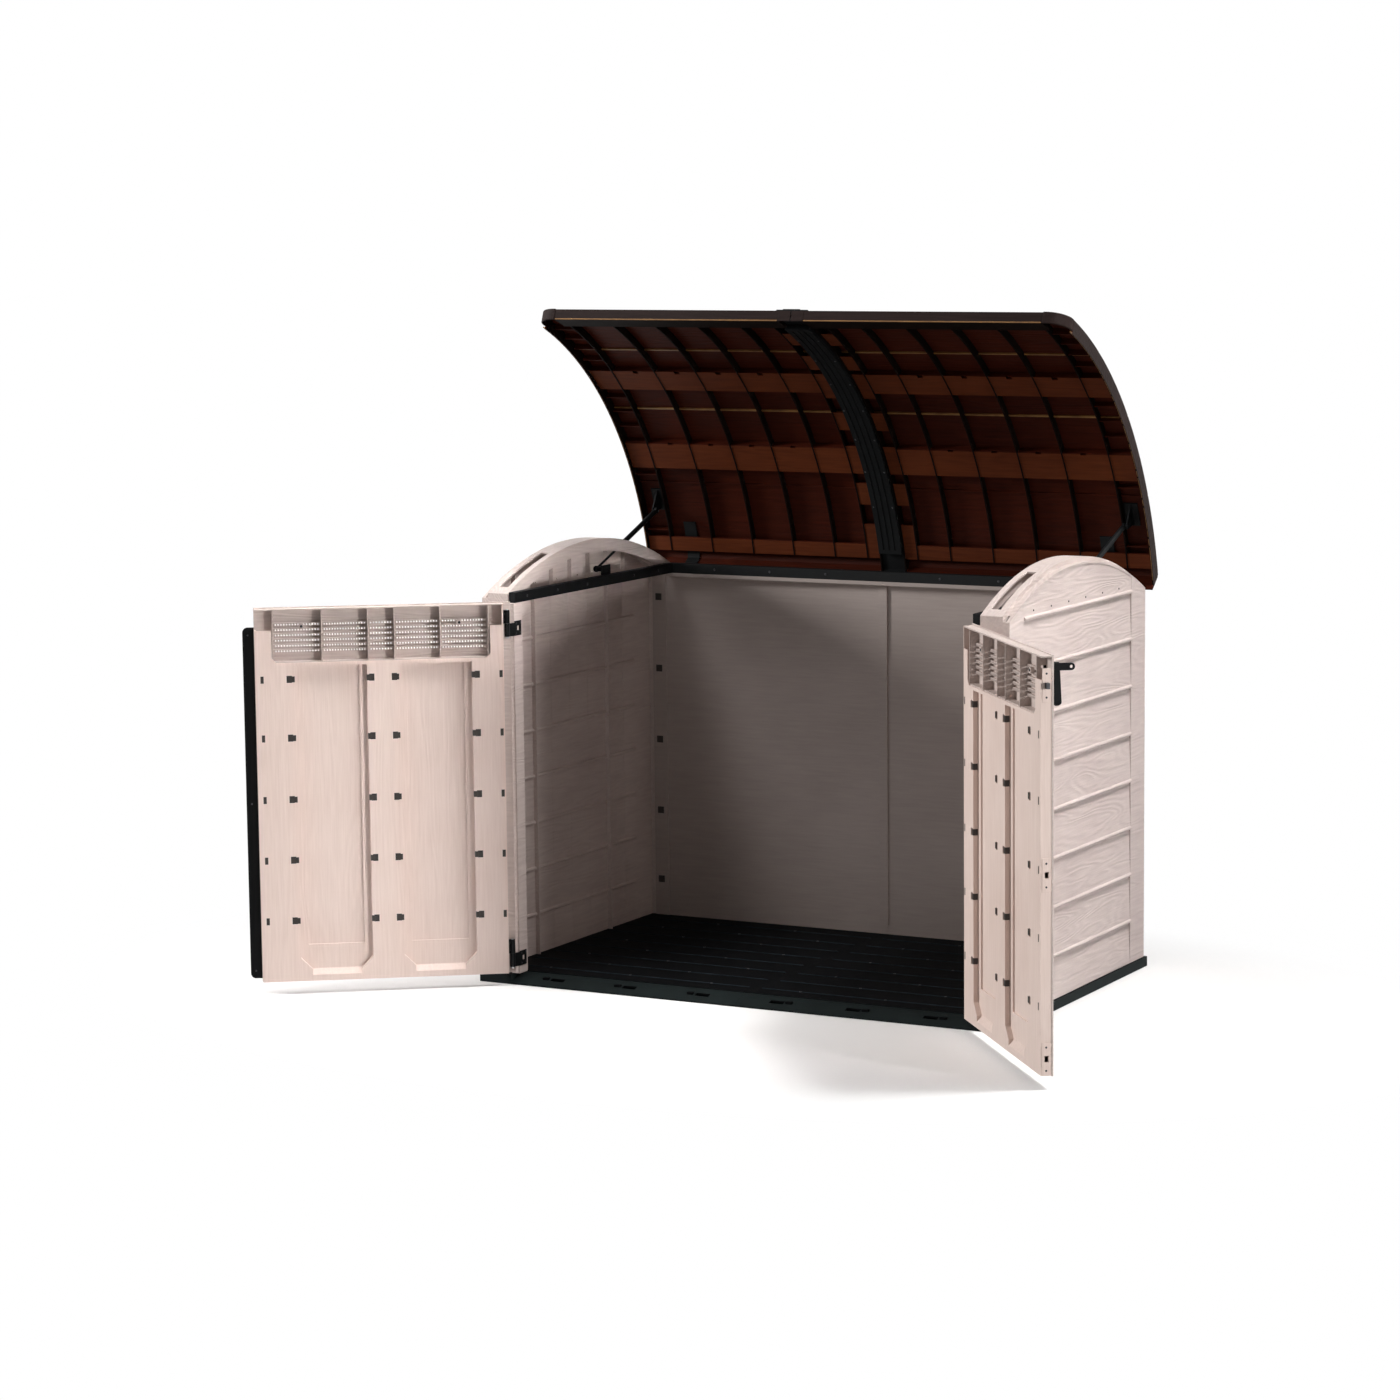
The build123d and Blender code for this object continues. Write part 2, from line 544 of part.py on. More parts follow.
# Gas struts with foot and head brackets
reach = (head_open[0] - foot[0], head_open[1] - foot[1])
strut_len = math.hypot(*reach)
strut_rise = math.degrees(math.atan2(reach[1], reach[0]))
for side in (-1, 1):
    strut_frame = Plane(Pos(side * slot_x, *foot) * Rot(strut_rise, 0, 0))
    with BuildPart() as foot_bracket:
        edge = rail_in + rail_w
        foot_z = (rail_z0 + 4, foot[1] + 14)
        block(shut, side, (edge, edge + 4), (foot[0] - 28, foot[0] + 28), foot_z)
        rod(shut, (side * edge, *foot), (side, 0, 0), foot_pin_r, slot_x + eye_t / 2 + 3.5 - edge)
        rod(shut, (side * (edge + 4), *foot), (side, 0, 0), 8, slot_x - eye_t / 2 - 0.5 - edge - 4)
        rod(shut, (side * (slot_x + eye_t / 2 + 0.5), *foot), (side, 0, 0), 7.5, 3)
    save(foot_bracket, f"{words[side]}_strut_foot")
    with BuildPart() as strut_rod:
        rod(strut_frame, (-eye_t / 2, 0, 0), (1, 0, 0), eye_r, eye_t)
        rod(strut_frame, (0, 7, 0), (0, 1, 0), rod_r, rod_len - 7)
        rod(strut_frame, (-10, 0, 0), (1, 0, 0), foot_pin_r + running, 20, Mode.SUBTRACT)
    save(strut_rod, f"{words[side]}_strut_rod")
    with BuildPart() as strut_barrel:
        tail = strut_len - barrel_len
        rod(strut_frame, (0, tail, 0), (0, 1, 0), barrel_r, barrel_len - 12)
        rod(strut_frame, (0, tail - 1, 0), (0, 1, 0), rod_r + running, barrel_len - 22, Mode.SUBTRACT)
        rod(strut_frame, (0, strut_len - 13, 0), (0, 1, 0), 3.4, 8)
        rod(strut_frame, (-eye_t / 2, strut_len, 0), (1, 0, 0), eye_r, eye_t)
        rod(strut_frame, (-10, strut_len, 0), (1, 0, 0), 4.5, 20, Mode.SUBTRACT)
    save(strut_barrel, f"{words[side]}_strut_barrel")
    with BuildPart() as head_bracket:
        x0 = slot_x + barrel_r + 0.4
        top_r = lid_r - lid_t - seat_gap
        tops = (on_arc(lid_c, top_r - 1, head.Y - 34), on_arc(lid_c, top_r - 1, head.Y + 34))
        cheek = [tops[0], tops[1], (head.Y + 10, head.Z + 2), (head.Y - 10, head.Z + 2)]
        slab(lid_frame, side, cheek, (x0, x0 + 4))
        rod(lid_frame, (side * x0, head.Y, head.Z), (side, 0, 0), 10.2, 4)
        foot_xs = (ladder_x + 3, lid_half - 37)
        arc_slab(lid_frame, side, lid_c, (top_r - 4, top_r), (head.Y - 36, head.Y + 36), foot_xs)
        rod(lid_frame, (side * (slot_x + eye_t / 2 + 0.4), head.Y, head.Z), (side, 0, 0), 6, 10)
    save(head_bracket, f"{words[side]}_strut_head")

# Door skins with louvred vents, and inner panels with pockets and clip windows
vent_xs = (vent_x[-1] - vent_side, vent_x[0] + vent_side)
for side in (-1, 1):
    frame = door_frames[side]
    with BuildPart() as outer:
        laps = [(-y, z) for y, z in lap_profile(door_z0, door_z1, -door_out, -door_skin, door_lap)]
        slab(frame, side, laps, (90, box_hinge - 49))
        for xs in ((door_gap, 90), (box_hinge - 49, door_lip)):
            block(frame, side, xs, (door_out, door_skin), (door_z0, door_z1))
        header = (box_free, box_hinge - panel_t - seat_gap)
        block(frame, side, header, (door_skin - 1, door_in - 1), (box_z1 - panel_t, box_z1))
        shelf = (door_skin - 1, door_in - panel_t - seat_gap)
        block(frame, side, vent_xs, shelf, (vent_z0 - 1, vent_z0 + 3))
        for x in vent_x:
            rib_in = shelf[1] if x in (vent_x[0], vent_x[-1]) else door_in - 2
            block(frame, side, (x - 1.5, x + 1.5), (door_skin - 1, rib_in), (vent_z0 + 1, box_z1 - 1))
        for k in range(louvre_count):
            blade_z = louvre_top - louvre_pitch * k
            blade = (door_skin - 1, door_skin + 9)
            block(frame, side, (vent_x[-1], vent_x[0]), blade, (blade_z, blade_z + 2.5))
        for x in (617, 143):
            rod(frame, (side * x, door_skin - 1, louvre_top - 8), (0, 1, 0), 9, 20)
        for x1, x0 in zip(vent_x[:-1], vent_x[1:]):
            middles = [louvre_top - louvre_pitch * k - 4 for k in range(louvre_count)]
            slots = [((x0 + x1) / 2, (door_out + door_skin) / 2, z) for z in middles]
            blocks(frame, side, slots, (x1 - x0 - 16, 9, louvre_h), Mode.SUBTRACT)
        if side > 0:
            rod(frame, (latch_x, door_out - 1, latch_z), (0, 1, 0), spindle_r + running, 20, Mode.SUBTRACT)
    save(outer, f"{words[side]}_door_outer")
    with BuildPart() as inner:
        block(frame, side, (box_free, box_hinge), (door_skin, door_in), (box_z0, box_z1))
        hollow_x = (box_free + panel_t, box_hinge - panel_t)
        hollow_z = (box_z0 + panel_t, box_z1 - panel_t)
        block(frame, side, hollow_x, (door_skin - 1, door_in - panel_t), hollow_z, Mode.SUBTRACT)
        for x0, x1 in pockets:
            tray_y = (door_in - floor_depth - 4, door_in - 1)
            block(frame, side, (x0 - 4, x1 + 4), tray_y, (pocket_z0 - 26, pocket_z1 + 4))
        for x0, x1 in pockets:
            low = pocket_z0 + pocket_corner
            outline = [(x0 + pocket_corner, pocket_z0), (x1 - pocket_corner, pocket_z0), (x1, low)]
            face_cut(frame, side, outline + [(x1, pocket_z1), (x0, pocket_z1), (x0, low)], pocket_depth)
            tray_z = (pocket_z0 + 74, pocket_z1)
            block(frame, side, (x0 + 24, x1 - 24), (door_in - floor_depth, door_in), tray_z, Mode.SUBTRACT)
            deep = door_in - pocket_depth + 1
            sill = [(door_in + 1, pocket_z0 - 19), (door_in + 1, pocket_z0 + 2)]
            sill = sill + [(deep, pocket_z0 + 2), (deep, pocket_z0 - 1)]
            slab(frame, side, sill, (x0 + pocket_corner, x1 - pocket_corner), Mode.SUBTRACT)
        for xs, width in ((window_x[1:-1], 16), ((window_x[0], window_x[-1]), 10)):
            windows = [(x, door_in - 2, box_z1 - r) for x in xs for r in window_rows]
            blocks(frame, side, windows, (width, 6, 22), Mode.SUBTRACT)
        x0, x1 = vent_xs
        notch = [(x0 + 14, vent_z0), (x1 - 14, vent_z0), (x1, vent_z0 + 14), (x1, box_z1 + 1)]
        face_cut(frame, side, notch + [(x0, box_z1 + 1), (x0, vent_z0 + 14)], panel_t + 1)
        top_xs = (box_free - 1, box_hinge - panel_t)
        block(frame, side, top_xs, (door_skin - 1, door_in + 1), (vent_z1, box_z1 + 1), Mode.SUBTRACT)
        hole = (bolt_w + 2 * running, bolt_h + 2 * running)
        mouth = [(box_free, bolt_y, z) for z in ((bolt_z, 583, 83) if side > 0 else (bolt_z,))]
        grow = 1 if side > 0 else 4
        slack = (hole[0] * grow / 2 + hole[0] / 2, hole[1] + grow - 1)
        blocks(frame, side, mouth, (12, *slack), Mode.SUBTRACT)
    save(inner, f"{words[side]}_door_inner")

# Overlap strip on the free edge of the left door
with BuildPart() as left_door_strip:
    front = Plane(
        left_frame.from_local_coords(Vector(3, door_out, 580)),
        x_dir=left_frame.x_dir,
        z_dir=-left_frame.y_dir,
    )
    with BuildSketch(front) as face:
        RectangleRounded(60, 1071, 16)
    extrude(face.sketch, amount=4)
    block(left_frame, 1, (-0.5, 40), (door_out - 0.6, door_out + 1), (0, 1200), Mode.SUBTRACT)
save(left_door_strip, "left_door_strip")

# Door hinges: fixed plate with lower knuckle, pin, and leaf on the door
for side in (-1, 1):
    frame = door_frames[side]
    spot = (side * pin_x, pin_y)
    for name, (z0, z1) in zip(hinge_names, hinge_spans):
        mid = (z0 + z1) / 2
        with BuildPart() as plate:
            rod(shut, (*spot, z0), (0, 0, 1), knuckle_r, mid - z0 - 0.25)
            with BuildSketch(Plane.XY.offset(z0)) as link:
                with BuildLine():
                    rear_y = jamb_front + 1
                    path = [(pin_x - 6.2, pin_y + 3), (jamb_in - 3, rear_y), (jamb_in, rear_y)]
                    path = path + [(jamb_in, jamb_front), (jamb_in + 0.6, jamb_front - 1.5)]
                    path = path + [(pin_x - 2.6, pin_y + 5)]
                    Polyline(*[(side * x, y) for x, y in path], close=True)
                make_face()
            extrude(link.sketch, amount=mid - z0 - 0.25)
            block(shut, side, (jamb_in - 3, jamb_in), (jamb_front + 1, jamb_front + 38), (z0, z0 + 45))
            block(shut, side, (740, 760), (-504, -490), (z0 + 16, z0 + 30), Mode.SUBTRACT)
            rod(shut, (*spot, z0 - 1), (0, 0, 1), door_pin_r, 60, Mode.SUBTRACT)
        save(plate, f"{words[side]}_{name}_hinge_plate")
        with BuildPart() as pin:
            rod(shut, (*spot, z0 - 3), (0, 0, 1), door_pin_r, z1 - z0 + 5)
            rod(shut, (*spot, z0 - 5), (0, 0, 1), 6.5, 5)
        save(pin, f"{words[side]}_{name}_hinge_pin")
        with BuildPart() as leaf:
            rod(frame, (*spot, mid + 0.25), (0, 0, 1), knuckle_r, z1 - mid - 0.25)
            block(frame, side, (box_hinge, box_hinge + 3), (pin_y - 11, pin_y + 11), (mid + 0.25, z1))
            block(frame, side, (box_hinge, pin_x - 4), (pin_y - 3, pin_y + 3), (mid + 0.25, z1))
            rod(frame, (*spot, mid - 1), (0, 0, 1), door_pin_r + running, 60, Mode.SUBTRACT)
        save(leaf, f"{words[side]}_{name}_hinge_leaf")

# Latch: base with padlock nose, turning handle, sliding bolt
with BuildPart() as latch_base:
    block(right_frame, 1, (38, 80), (door_out - 3, door_out), (1022, 1164))
    block(right_frame, 1, (38, 44), (door_out - 60, door_out), (latch_z - 10, latch_z + 10))
    rod(right_frame, (38, door_out - 60, latch_z), (1, 0, 0), 10, 6)
    rod(right_frame, (30, door_out - 60, latch_z), (1, 0, 0), 4.5, 20, Mode.SUBTRACT)
    rod(right_frame, (latch_x, door_out - 9, latch_z), (0, 1, 0), spindle_r + running, 20, Mode.SUBTRACT)
save(latch_base, "latch_base")

with BuildPart() as latch_handle:
    rod(right_frame, (latch_x, door_out - 20, latch_z), (0, 1, 0), 12, 20 - 3 - running)
    rod(right_frame, (latch_x, door_out - 20, latch_z), (0, 1, 0), spindle_r, 31)
    grip_plane = Plane(
        right_frame.from_local_coords(Vector(latch_x, door_out - 19, (latch_z + grip_low) / 2)),
        x_dir=right_frame.z_dir,
        z_dir=-right_frame.y_dir,
    )
    with BuildSketch(grip_plane) as grip:
        SlotCenterToCenter(latch_z - grip_low, grip_w)
    extrude(grip.sketch, amount=12)
save(latch_handle, "latch_handle")

with BuildPart() as latch_bolt:
    bolt_xs = (-bolt_out, 40)
    bolt_ys = (bolt_y - bolt_w / 2, bolt_y + bolt_w / 2)
    block(right_frame, 1, bolt_xs, bolt_ys, (bolt_z - bolt_h / 2, bolt_z + bolt_h / 2))
save(latch_bolt, "latch_bolt")
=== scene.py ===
import json
import math

import bmesh
import bpy
from mathutils import Matrix, Vector


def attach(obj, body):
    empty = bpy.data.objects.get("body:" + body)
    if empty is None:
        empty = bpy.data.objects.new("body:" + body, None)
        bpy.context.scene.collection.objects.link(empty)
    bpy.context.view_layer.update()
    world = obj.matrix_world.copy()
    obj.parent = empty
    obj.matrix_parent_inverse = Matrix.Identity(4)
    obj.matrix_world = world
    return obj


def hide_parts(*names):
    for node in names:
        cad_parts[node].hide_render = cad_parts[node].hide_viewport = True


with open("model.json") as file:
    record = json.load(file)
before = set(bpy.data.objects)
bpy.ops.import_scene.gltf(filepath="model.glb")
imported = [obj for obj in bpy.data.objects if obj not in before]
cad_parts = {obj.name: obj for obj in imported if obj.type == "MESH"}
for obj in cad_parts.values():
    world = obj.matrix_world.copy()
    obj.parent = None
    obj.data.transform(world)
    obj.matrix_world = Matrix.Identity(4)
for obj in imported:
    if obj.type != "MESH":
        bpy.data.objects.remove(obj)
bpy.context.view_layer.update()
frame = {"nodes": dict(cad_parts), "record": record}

mm = 0.001
nodes = frame["nodes"]
bodyOf = {n: b for b, names in frame["record"]["behaviour"]["bodies"].items() for n in names}
print("frame loaded:", len(nodes), "nodes")


def hexColour(code):
    parts = [int(code[i:i + 2], 16) / 255 for i in (1, 3, 5)]
    linear = [c / 12.92 if c <= 0.04045 else ((c + 0.055) / 1.055) ** 2.4 for c in parts]
    return (*linear, 1.0)


def addNode(tree, kind, settings=None, inputs=None, links=None):
    made = tree.nodes.new(kind)
    for name, value in (settings or {}).items():
        setattr(made, name, value)
    for key, value in (inputs or {}).items():
        made.inputs[key].default_value = value
    for key, source in (links or {}).items():
        tree.links.new(source, made.inputs[key])
    return made


# The part is drawn shut, then turned to the pose at rest: lid up, doors out
lidPivot = Vector((0, 565, 1148)) * mm
leftPin = Vector((-762, -542, 0)) * mm
rightPin = Vector((762, -542, 0)) * mm
lidOpen = math.radians(-49.15)
leftOpen = math.radians(-144.06)
rightOpen = math.radians(130.06)


def turnedAbout(point, angle, axis):
    return Matrix.Translation(point) @ Matrix.Rotation(angle, 4, axis) @ Matrix.Translation(-point)


restTurn = {
    "cabinet": Matrix.Identity(4),
    "lid": turnedAbout(lidPivot, lidOpen, "X"),
    "left_door": turnedAbout(leftPin, leftOpen, "Z"),
    "right_door": turnedAbout(rightPin, rightOpen, "Z"),
}
doorSides = ((-1, "left_door"), (1, "right_door"))
lidArc = {"y": 3.7, "z": 224.5, "radius": 1135.0}  # centre and radius of the shut lid, mm
wallFace = 862.0  # inner face of the side walls, mm from the middle


def startMaterial(name, look):
    made = bpy.data.materials.new(name)
    made.use_nodes = True
    tree = made.node_tree
    shader = tree.nodes["Principled BSDF"]
    shader.inputs["Roughness"].default_value = look["roughness"]
    shader.inputs["Metallic"].default_value = look.get("metallic", 0.0)
    shader.inputs["Specular IOR Level"].default_value = look["specular"]
    place = addNode(tree, "ShaderNodeTexCoord").outputs["Object"]
    return made, tree, shader, place


def coatShader(tree, shader, shades, look, tone, height, wear, swing):
    # tone runs from the dark to the pale shade, height lifts the skin, wear moves its roughness by the swing
    colour = addNode(tree, "ShaderNodeMix", {"data_type": "RGBA"},
                     {6: hexColour(shades[0]), 7: hexColour(shades[1])}, {0: tone}).outputs[2]
    bump = addNode(tree, "ShaderNodeBump", {}, {"Strength": look["bump"], "Distance": look["depth"] * mm},
                   {"Height": height}).outputs[0]
    rough = addNode(tree, "ShaderNodeMapRange", {},
                    {"To Min": look["roughness"] - swing[0], "To Max": look["roughness"] + swing[1]},
                    {"Value": wear}).outputs[0]
    for source, socket in ((colour, "Base Color"), (bump, "Normal"), (rough, "Roughness")):
        tree.links.new(source, shader.inputs[socket])


timberSwing = (0.06, 0.08)  # how far the roughness strays down and up
gritSwing = (0.07, 0.07)


# Polypropylene moulded against an etched timber pattern: nested growth rings in low relief, a matt skin
def timberResin(name, dark, pale, look):
    made, tree, shader, place = startMaterial(name, look)
    turned = addNode(tree, "ShaderNodeMapping", {}, {"Rotation": look["turn"]}, {"Vector": place}).outputs[0]
    ringScale = [1 / (s * mm) for s in look["ringSize"]]
    ringPlace = addNode(tree, "ShaderNodeMapping", {}, {"Scale": ringScale}, {"Vector": turned}).outputs[0]
    field = addNode(tree, "ShaderNodeTexNoise", {},
                    {"Scale": 1.0, "Detail": 1.5, "Roughness": 0.45, "Distortion": 0.25},
                    {"Vector": ringPlace}).outputs["Fac"]
    # contour lines of a stretched field read as rings and knots
    phase = addNode(tree, "ShaderNodeMath", {"operation": "MULTIPLY"}, {1: look["rings"] * 2 * math.pi},
                    {0: field}).outputs[0]
    ring = addNode(tree, "ShaderNodeMath", {"operation": "SINE"}, {}, {0: phase}).outputs[0]
    fibreScale = [1 / (s * mm) for s in look["fibreSize"]]
    fibrePlace = addNode(tree, "ShaderNodeMapping", {}, {"Scale": fibreScale}, {"Vector": turned}).outputs[0]
    fibre = addNode(tree, "ShaderNodeTexNoise", {}, {"Scale": 1.0, "Detail": 4.0, "Roughness": 0.6},
                    {"Vector": fibrePlace}).outputs["Fac"]
    cloud = addNode(tree, "ShaderNodeTexNoise", {}, {"Scale": 1 / (look["cloud"] * mm), "Detail": 2.0},
                    {"Vector": turned}).outputs["Fac"]
    relief = addNode(tree, "ShaderNodeMath", {"operation": "MULTIPLY_ADD"}, {1: look["ringDepth"]},
                     {0: ring, 2: fibre}).outputs[0]
    shade = addNode(tree, "ShaderNodeMath", {"operation": "MULTIPLY_ADD"}, {1: look["ringTone"]},
                    {0: ring, 2: fibre}).outputs[0]
    blend = addNode(tree, "ShaderNodeMath", {"operation": "ADD"}, {}, {0: cloud, 1: shade}).outputs[0]
    tone = addNode(tree, "ShaderNodeMapRange", {}, {"From Min": 0.6, "From Max": 1.4},
                   {"Value": blend}).outputs[0]
    coatShader(tree, shader, (dark, pale), look, tone, relief, fibre, timberSwing)
    return made


# Moulded or painted skin with a fine spark-eroded grit, a shade uneven from handling
def gritSkin(name, dark, pale, look):
    made, tree, shader, place = startMaterial(name, look)
    cloud = addNode(tree, "ShaderNodeTexNoise", {}, {"Scale": 1 / (look["cloud"] * mm), "Detail": 3.0},
                    {"Vector": place}).outputs["Fac"]
    grit = addNode(tree, "ShaderNodeTexNoise", {}, {"Scale": 1 / (look["grit"] * mm), "Detail": 2.0},
                   {"Vector": place}).outputs["Fac"]
    tone = addNode(tree, "ShaderNodeMapRange", {}, {"From Min": 0.3, "From Max": 0.7},
                   {"Value": cloud}).outputs[0]
    coatShader(tree, shader, (dark, pale), look, tone, grit, cloud, gritSwing)
    return made


# Boards: ring nests of 75 by 520 mm and fibres of 6 by 110 mm, coarser than real grain so that they show
resinLook = {"roughness": 0.52, "specular": 0.4, "bump": 0.55, "depth": 1.4, "turn": (0, 0, 0), "rings": 9,
             "ringTone": 0.07, "ringDepth": 0.2, "ringSize": (75, 520, 75), "fibreSize": (6, 110, 6),
             "cloud": 320}
crossGrain = {"ringSize": (520, 75, 75), "fibreSize": (110, 6, 6)}
deepGrain = {"bump": 0.6, "rings": 13, "ringDepth": 0.38, "ringTone": 0.06}  # outer boards are etched deeper
leftTurn = {"turn": (0, 0, -leftOpen)}
rightTurn = {"turn": (0, 0, -rightOpen)}
# Painted shade: the side walls are painted a shade darker than the door panels of the same plastic, for the
# weaker light they get
wallPaintedShadeResin = timberResin("polypropyleneBeigeWall", "#bcaca7", "#d3c5be", {**resinLook, **deepGrain})
# Painted shade: inside, the back wall is painted darker than the walls, for the shade it lies in
backPaintedShadeResin = timberResin("polypropyleneBeigeBack", "#a2958f", "#b3a6a0",
                        {**resinLook, **crossGrain, "bump": 0.12, "ringTone": 0.0})
# The inner door panels are the palest, with an upright grain
doorLook = {**resinLook, "ringSize": (70, 70, 620), "fibreSize": (5, 5, 130), "bump": 0.3, "ringTone": 0.04}
leftDoorResin = timberResin("polypropyleneBeigeLeftDoor", "#dbc4b9", "#ead6cc", {**doorLook, **leftTurn})
rightDoorResin = timberResin("polypropyleneBeigeRightDoor", "#dbc4b9", "#ead6cc", {**doorLook, **rightTurn})
# The outer skins of the doors and of the back match the walls: boards lie across, the tone is a shade deeper,
# the painted shade of the walls
skinLook = {**resinLook, **crossGrain, **deepGrain}
rearResin = timberResin("polypropyleneBeigeRear", "#bdada7", "#d2c3bb", skinLook)
leftSkinResin = timberResin("polypropyleneBeigeLeftSkin", "#bdada7", "#d2c3bb", {**skinLook, **leftTurn})
rightSkinResin = timberResin("polypropyleneBeigeRightSkin", "#bdada7", "#d2c3bb", {**skinLook, **rightTurn})
# The lid is the same plastic in brown: dark and matt outside; inside it is painted redder, a painted glow of
# light through the thin plastic, and darker as painted shade
lidLook = {**resinLook, "ringSize": (480, 70, 70), "fibreSize": (120, 6, 6), "roughness": 0.56,
           "specular": 0.07, "turn": (-lidOpen, 0, 0)}
lidResin = timberResin("polypropyleneBrownLid", "#1f1614", "#2d2220", lidLook)
lidInnerGlowAndShade = timberResin("polypropyleneBrownBoards", "#2a0c05", "#421709", lidLook)
# Painted light: the cross bands under the lid are painted paler and more orange for the light they catch
# nearer the front
lidBandPaintedLight = timberResin("polypropyleneBrownBands", "#48200f", "#5c2d16", {**lidLook, "bump": 0.15})
# Painted shade: the ribs under the lid are painted near black for the shade on their sides and lower edges
lidRibPaintedShade = gritSkin("polypropyleneBrownRibs", "#0a0504", "#110906",
                       {"roughness": 0.65, "specular": 0.05, "cloud": 70, "grit": 1.6,
                        "bump": 0.2, "depth": 0.3})
# Painted light: thin lips of the brown plastic are painted golden for the light that shines through them
lidLipPaintedGlow = gritSkin("polypropyleneThinLip", "#6e4a26", "#8c6536",
                       {"roughness": 0.45, "specular": 0.4, "cloud": 40, "grit": 1.4,
                        "bump": 0.15, "depth": 0.2})
# Black polypropylene: an even, nearly dull black with a fine grit, drawn coarser than it is
blackResin = gritSkin("polypropyleneBlack", "#08090a", "#0e1011",
                      {"roughness": 0.62, "specular": 0.1, "cloud": 60, "grit": 1.6,
                       "bump": 0.3, "depth": 0.3})
# The deck is the same black, a shade darker and dull; the ramp and the ridges are painted paler, painted
# light on the ramp and a painted highlight on the ridges
deckLook = {"roughness": 0.7, "specular": 0.05, "cloud": 90, "grit": 1.8, "bump": 0.3, "depth": 0.3}
deckResin = gritSkin("polypropyleneBlackDeck", "#030405", "#07080a", deckLook)
rampPaintedLight = gritSkin("polypropyleneBlackRamp", "#0f1515", "#151c1c", {**deckLook, "specular": 0.1})
# Painted highlight: the ridges are painted paler than the deck
ridgePaintedHighlight = gritSkin("polypropyleneBlackRidge", "#1a2025", "#272e34", {**deckLook, "cloud": 40})
# Powder coat baked on steel: black with a soft sheen and a slight orange peel
blackCoat = gritSkin("powderCoatBlack", "#060708", "#0b0d0e",
                     {"roughness": 0.55, "specular": 0.14, "cloud": 30, "grit": 1.1,
                      "bump": 0.25, "depth": 0.15})
# Moulded acetal: dark brown clips, smoother than the doors around them
clipResin = gritSkin("acetalClipBrown", "#26211e", "#332c28",
                     {"roughness": 0.5, "specular": 0.4, "cloud": 20, "grit": 1.0,
                      "bump": 0.2, "depth": 0.15})
# Drawn steel bar: bright metal pins, a little uneven
brightSteel = gritSkin("drawnSteelBar", "#9c9c9e", "#c4c4c6",
                       {"roughness": 0.3, "specular": 0.5, "metallic": 1.0, "cloud": 12, "grit": 0.8,
                        "bump": 0.12, "depth": 0.08})
# Blackened steel: dark screw heads that still glint
screwSteel = gritSkin("blackenedScrewSteel", "#2b2b2d", "#444447",
                      {"roughness": 0.38, "specular": 0.5, "metallic": 0.7, "cloud": 6, "grit": 0.6,
                       "bump": 0.1, "depth": 0.05})
print("materials made")


def plainMesh(piece):
    # what the modifiers make becomes the mesh of the piece
    bpy.context.view_layer.update()
    made = bpy.data.meshes.new_from_object(piece.evaluated_get(bpy.context.evaluated_depsgraph_get()))
    piece.modifiers.clear()
    piece.data = made
    return made


# Solids: distances in mm, angles in degrees
softening = {"mergeGap": 0.02, "flatAngle": 0.6, "sharpAngle": 34, "roundAngle": 32, "segments": 2,
             "flatWeight": 100}


def softened(name, width, material, cuts=()):
    # a merged copy of the solid with its moulded edges rounded, cut at the given levels
    mesh = nodes[name].data.copy()
    piece = bpy.data.objects.new(name + "_dressed", mesh)
    bpy.context.scene.collection.objects.link(piece)
    shape = bmesh.new()
    shape.from_mesh(mesh)
    bmesh.ops.remove_doubles(shape, verts=shape.verts, dist=softening["mergeGap"] * mm)
    bmesh.ops.dissolve_limit(shape, angle_limit=math.radians(softening["flatAngle"]),
                             verts=shape.verts, edges=shape.edges)
    for level in cuts:
        bmesh.ops.bisect_plane(shape, geom=[*shape.verts, *shape.edges, *shape.faces],
                               plane_co=(0, 0, level * mm), plane_no=(0, 0, 1))
    shape.to_mesh(mesh)
    shape.free()
    mesh.materials.clear()
    mesh.materials.append(material)
    mesh.polygons.foreach_set("use_smooth", [True] * len(mesh.polygons))
    mesh.set_sharp_from_angle(angle=math.radians(softening["sharpAngle"]))
    rounding = piece.modifiers.new("rounding", "BEVEL")
    rounding.width = width * mm
    rounding.segments = softening["segments"]
    rounding.limit_method = "ANGLE"
    rounding.angle_limit = math.radians(softening["roundAngle"])
    rounding.use_clamp_overlap = True
    # large faces rule the shading, so that flats stay flat next to the rounding
    evening = piece.modifiers.new("evening", "WEIGHTED_NORMAL")
    evening.weight = softening["flatWeight"]
    evening.keep_sharp = True
    plainMesh(piece)
    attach(piece, bodyOf[name])
    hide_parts(name)
    return piece


ribCuts = (1157, 1155)  # just above and below the level where the short ribs of the walls end, mm
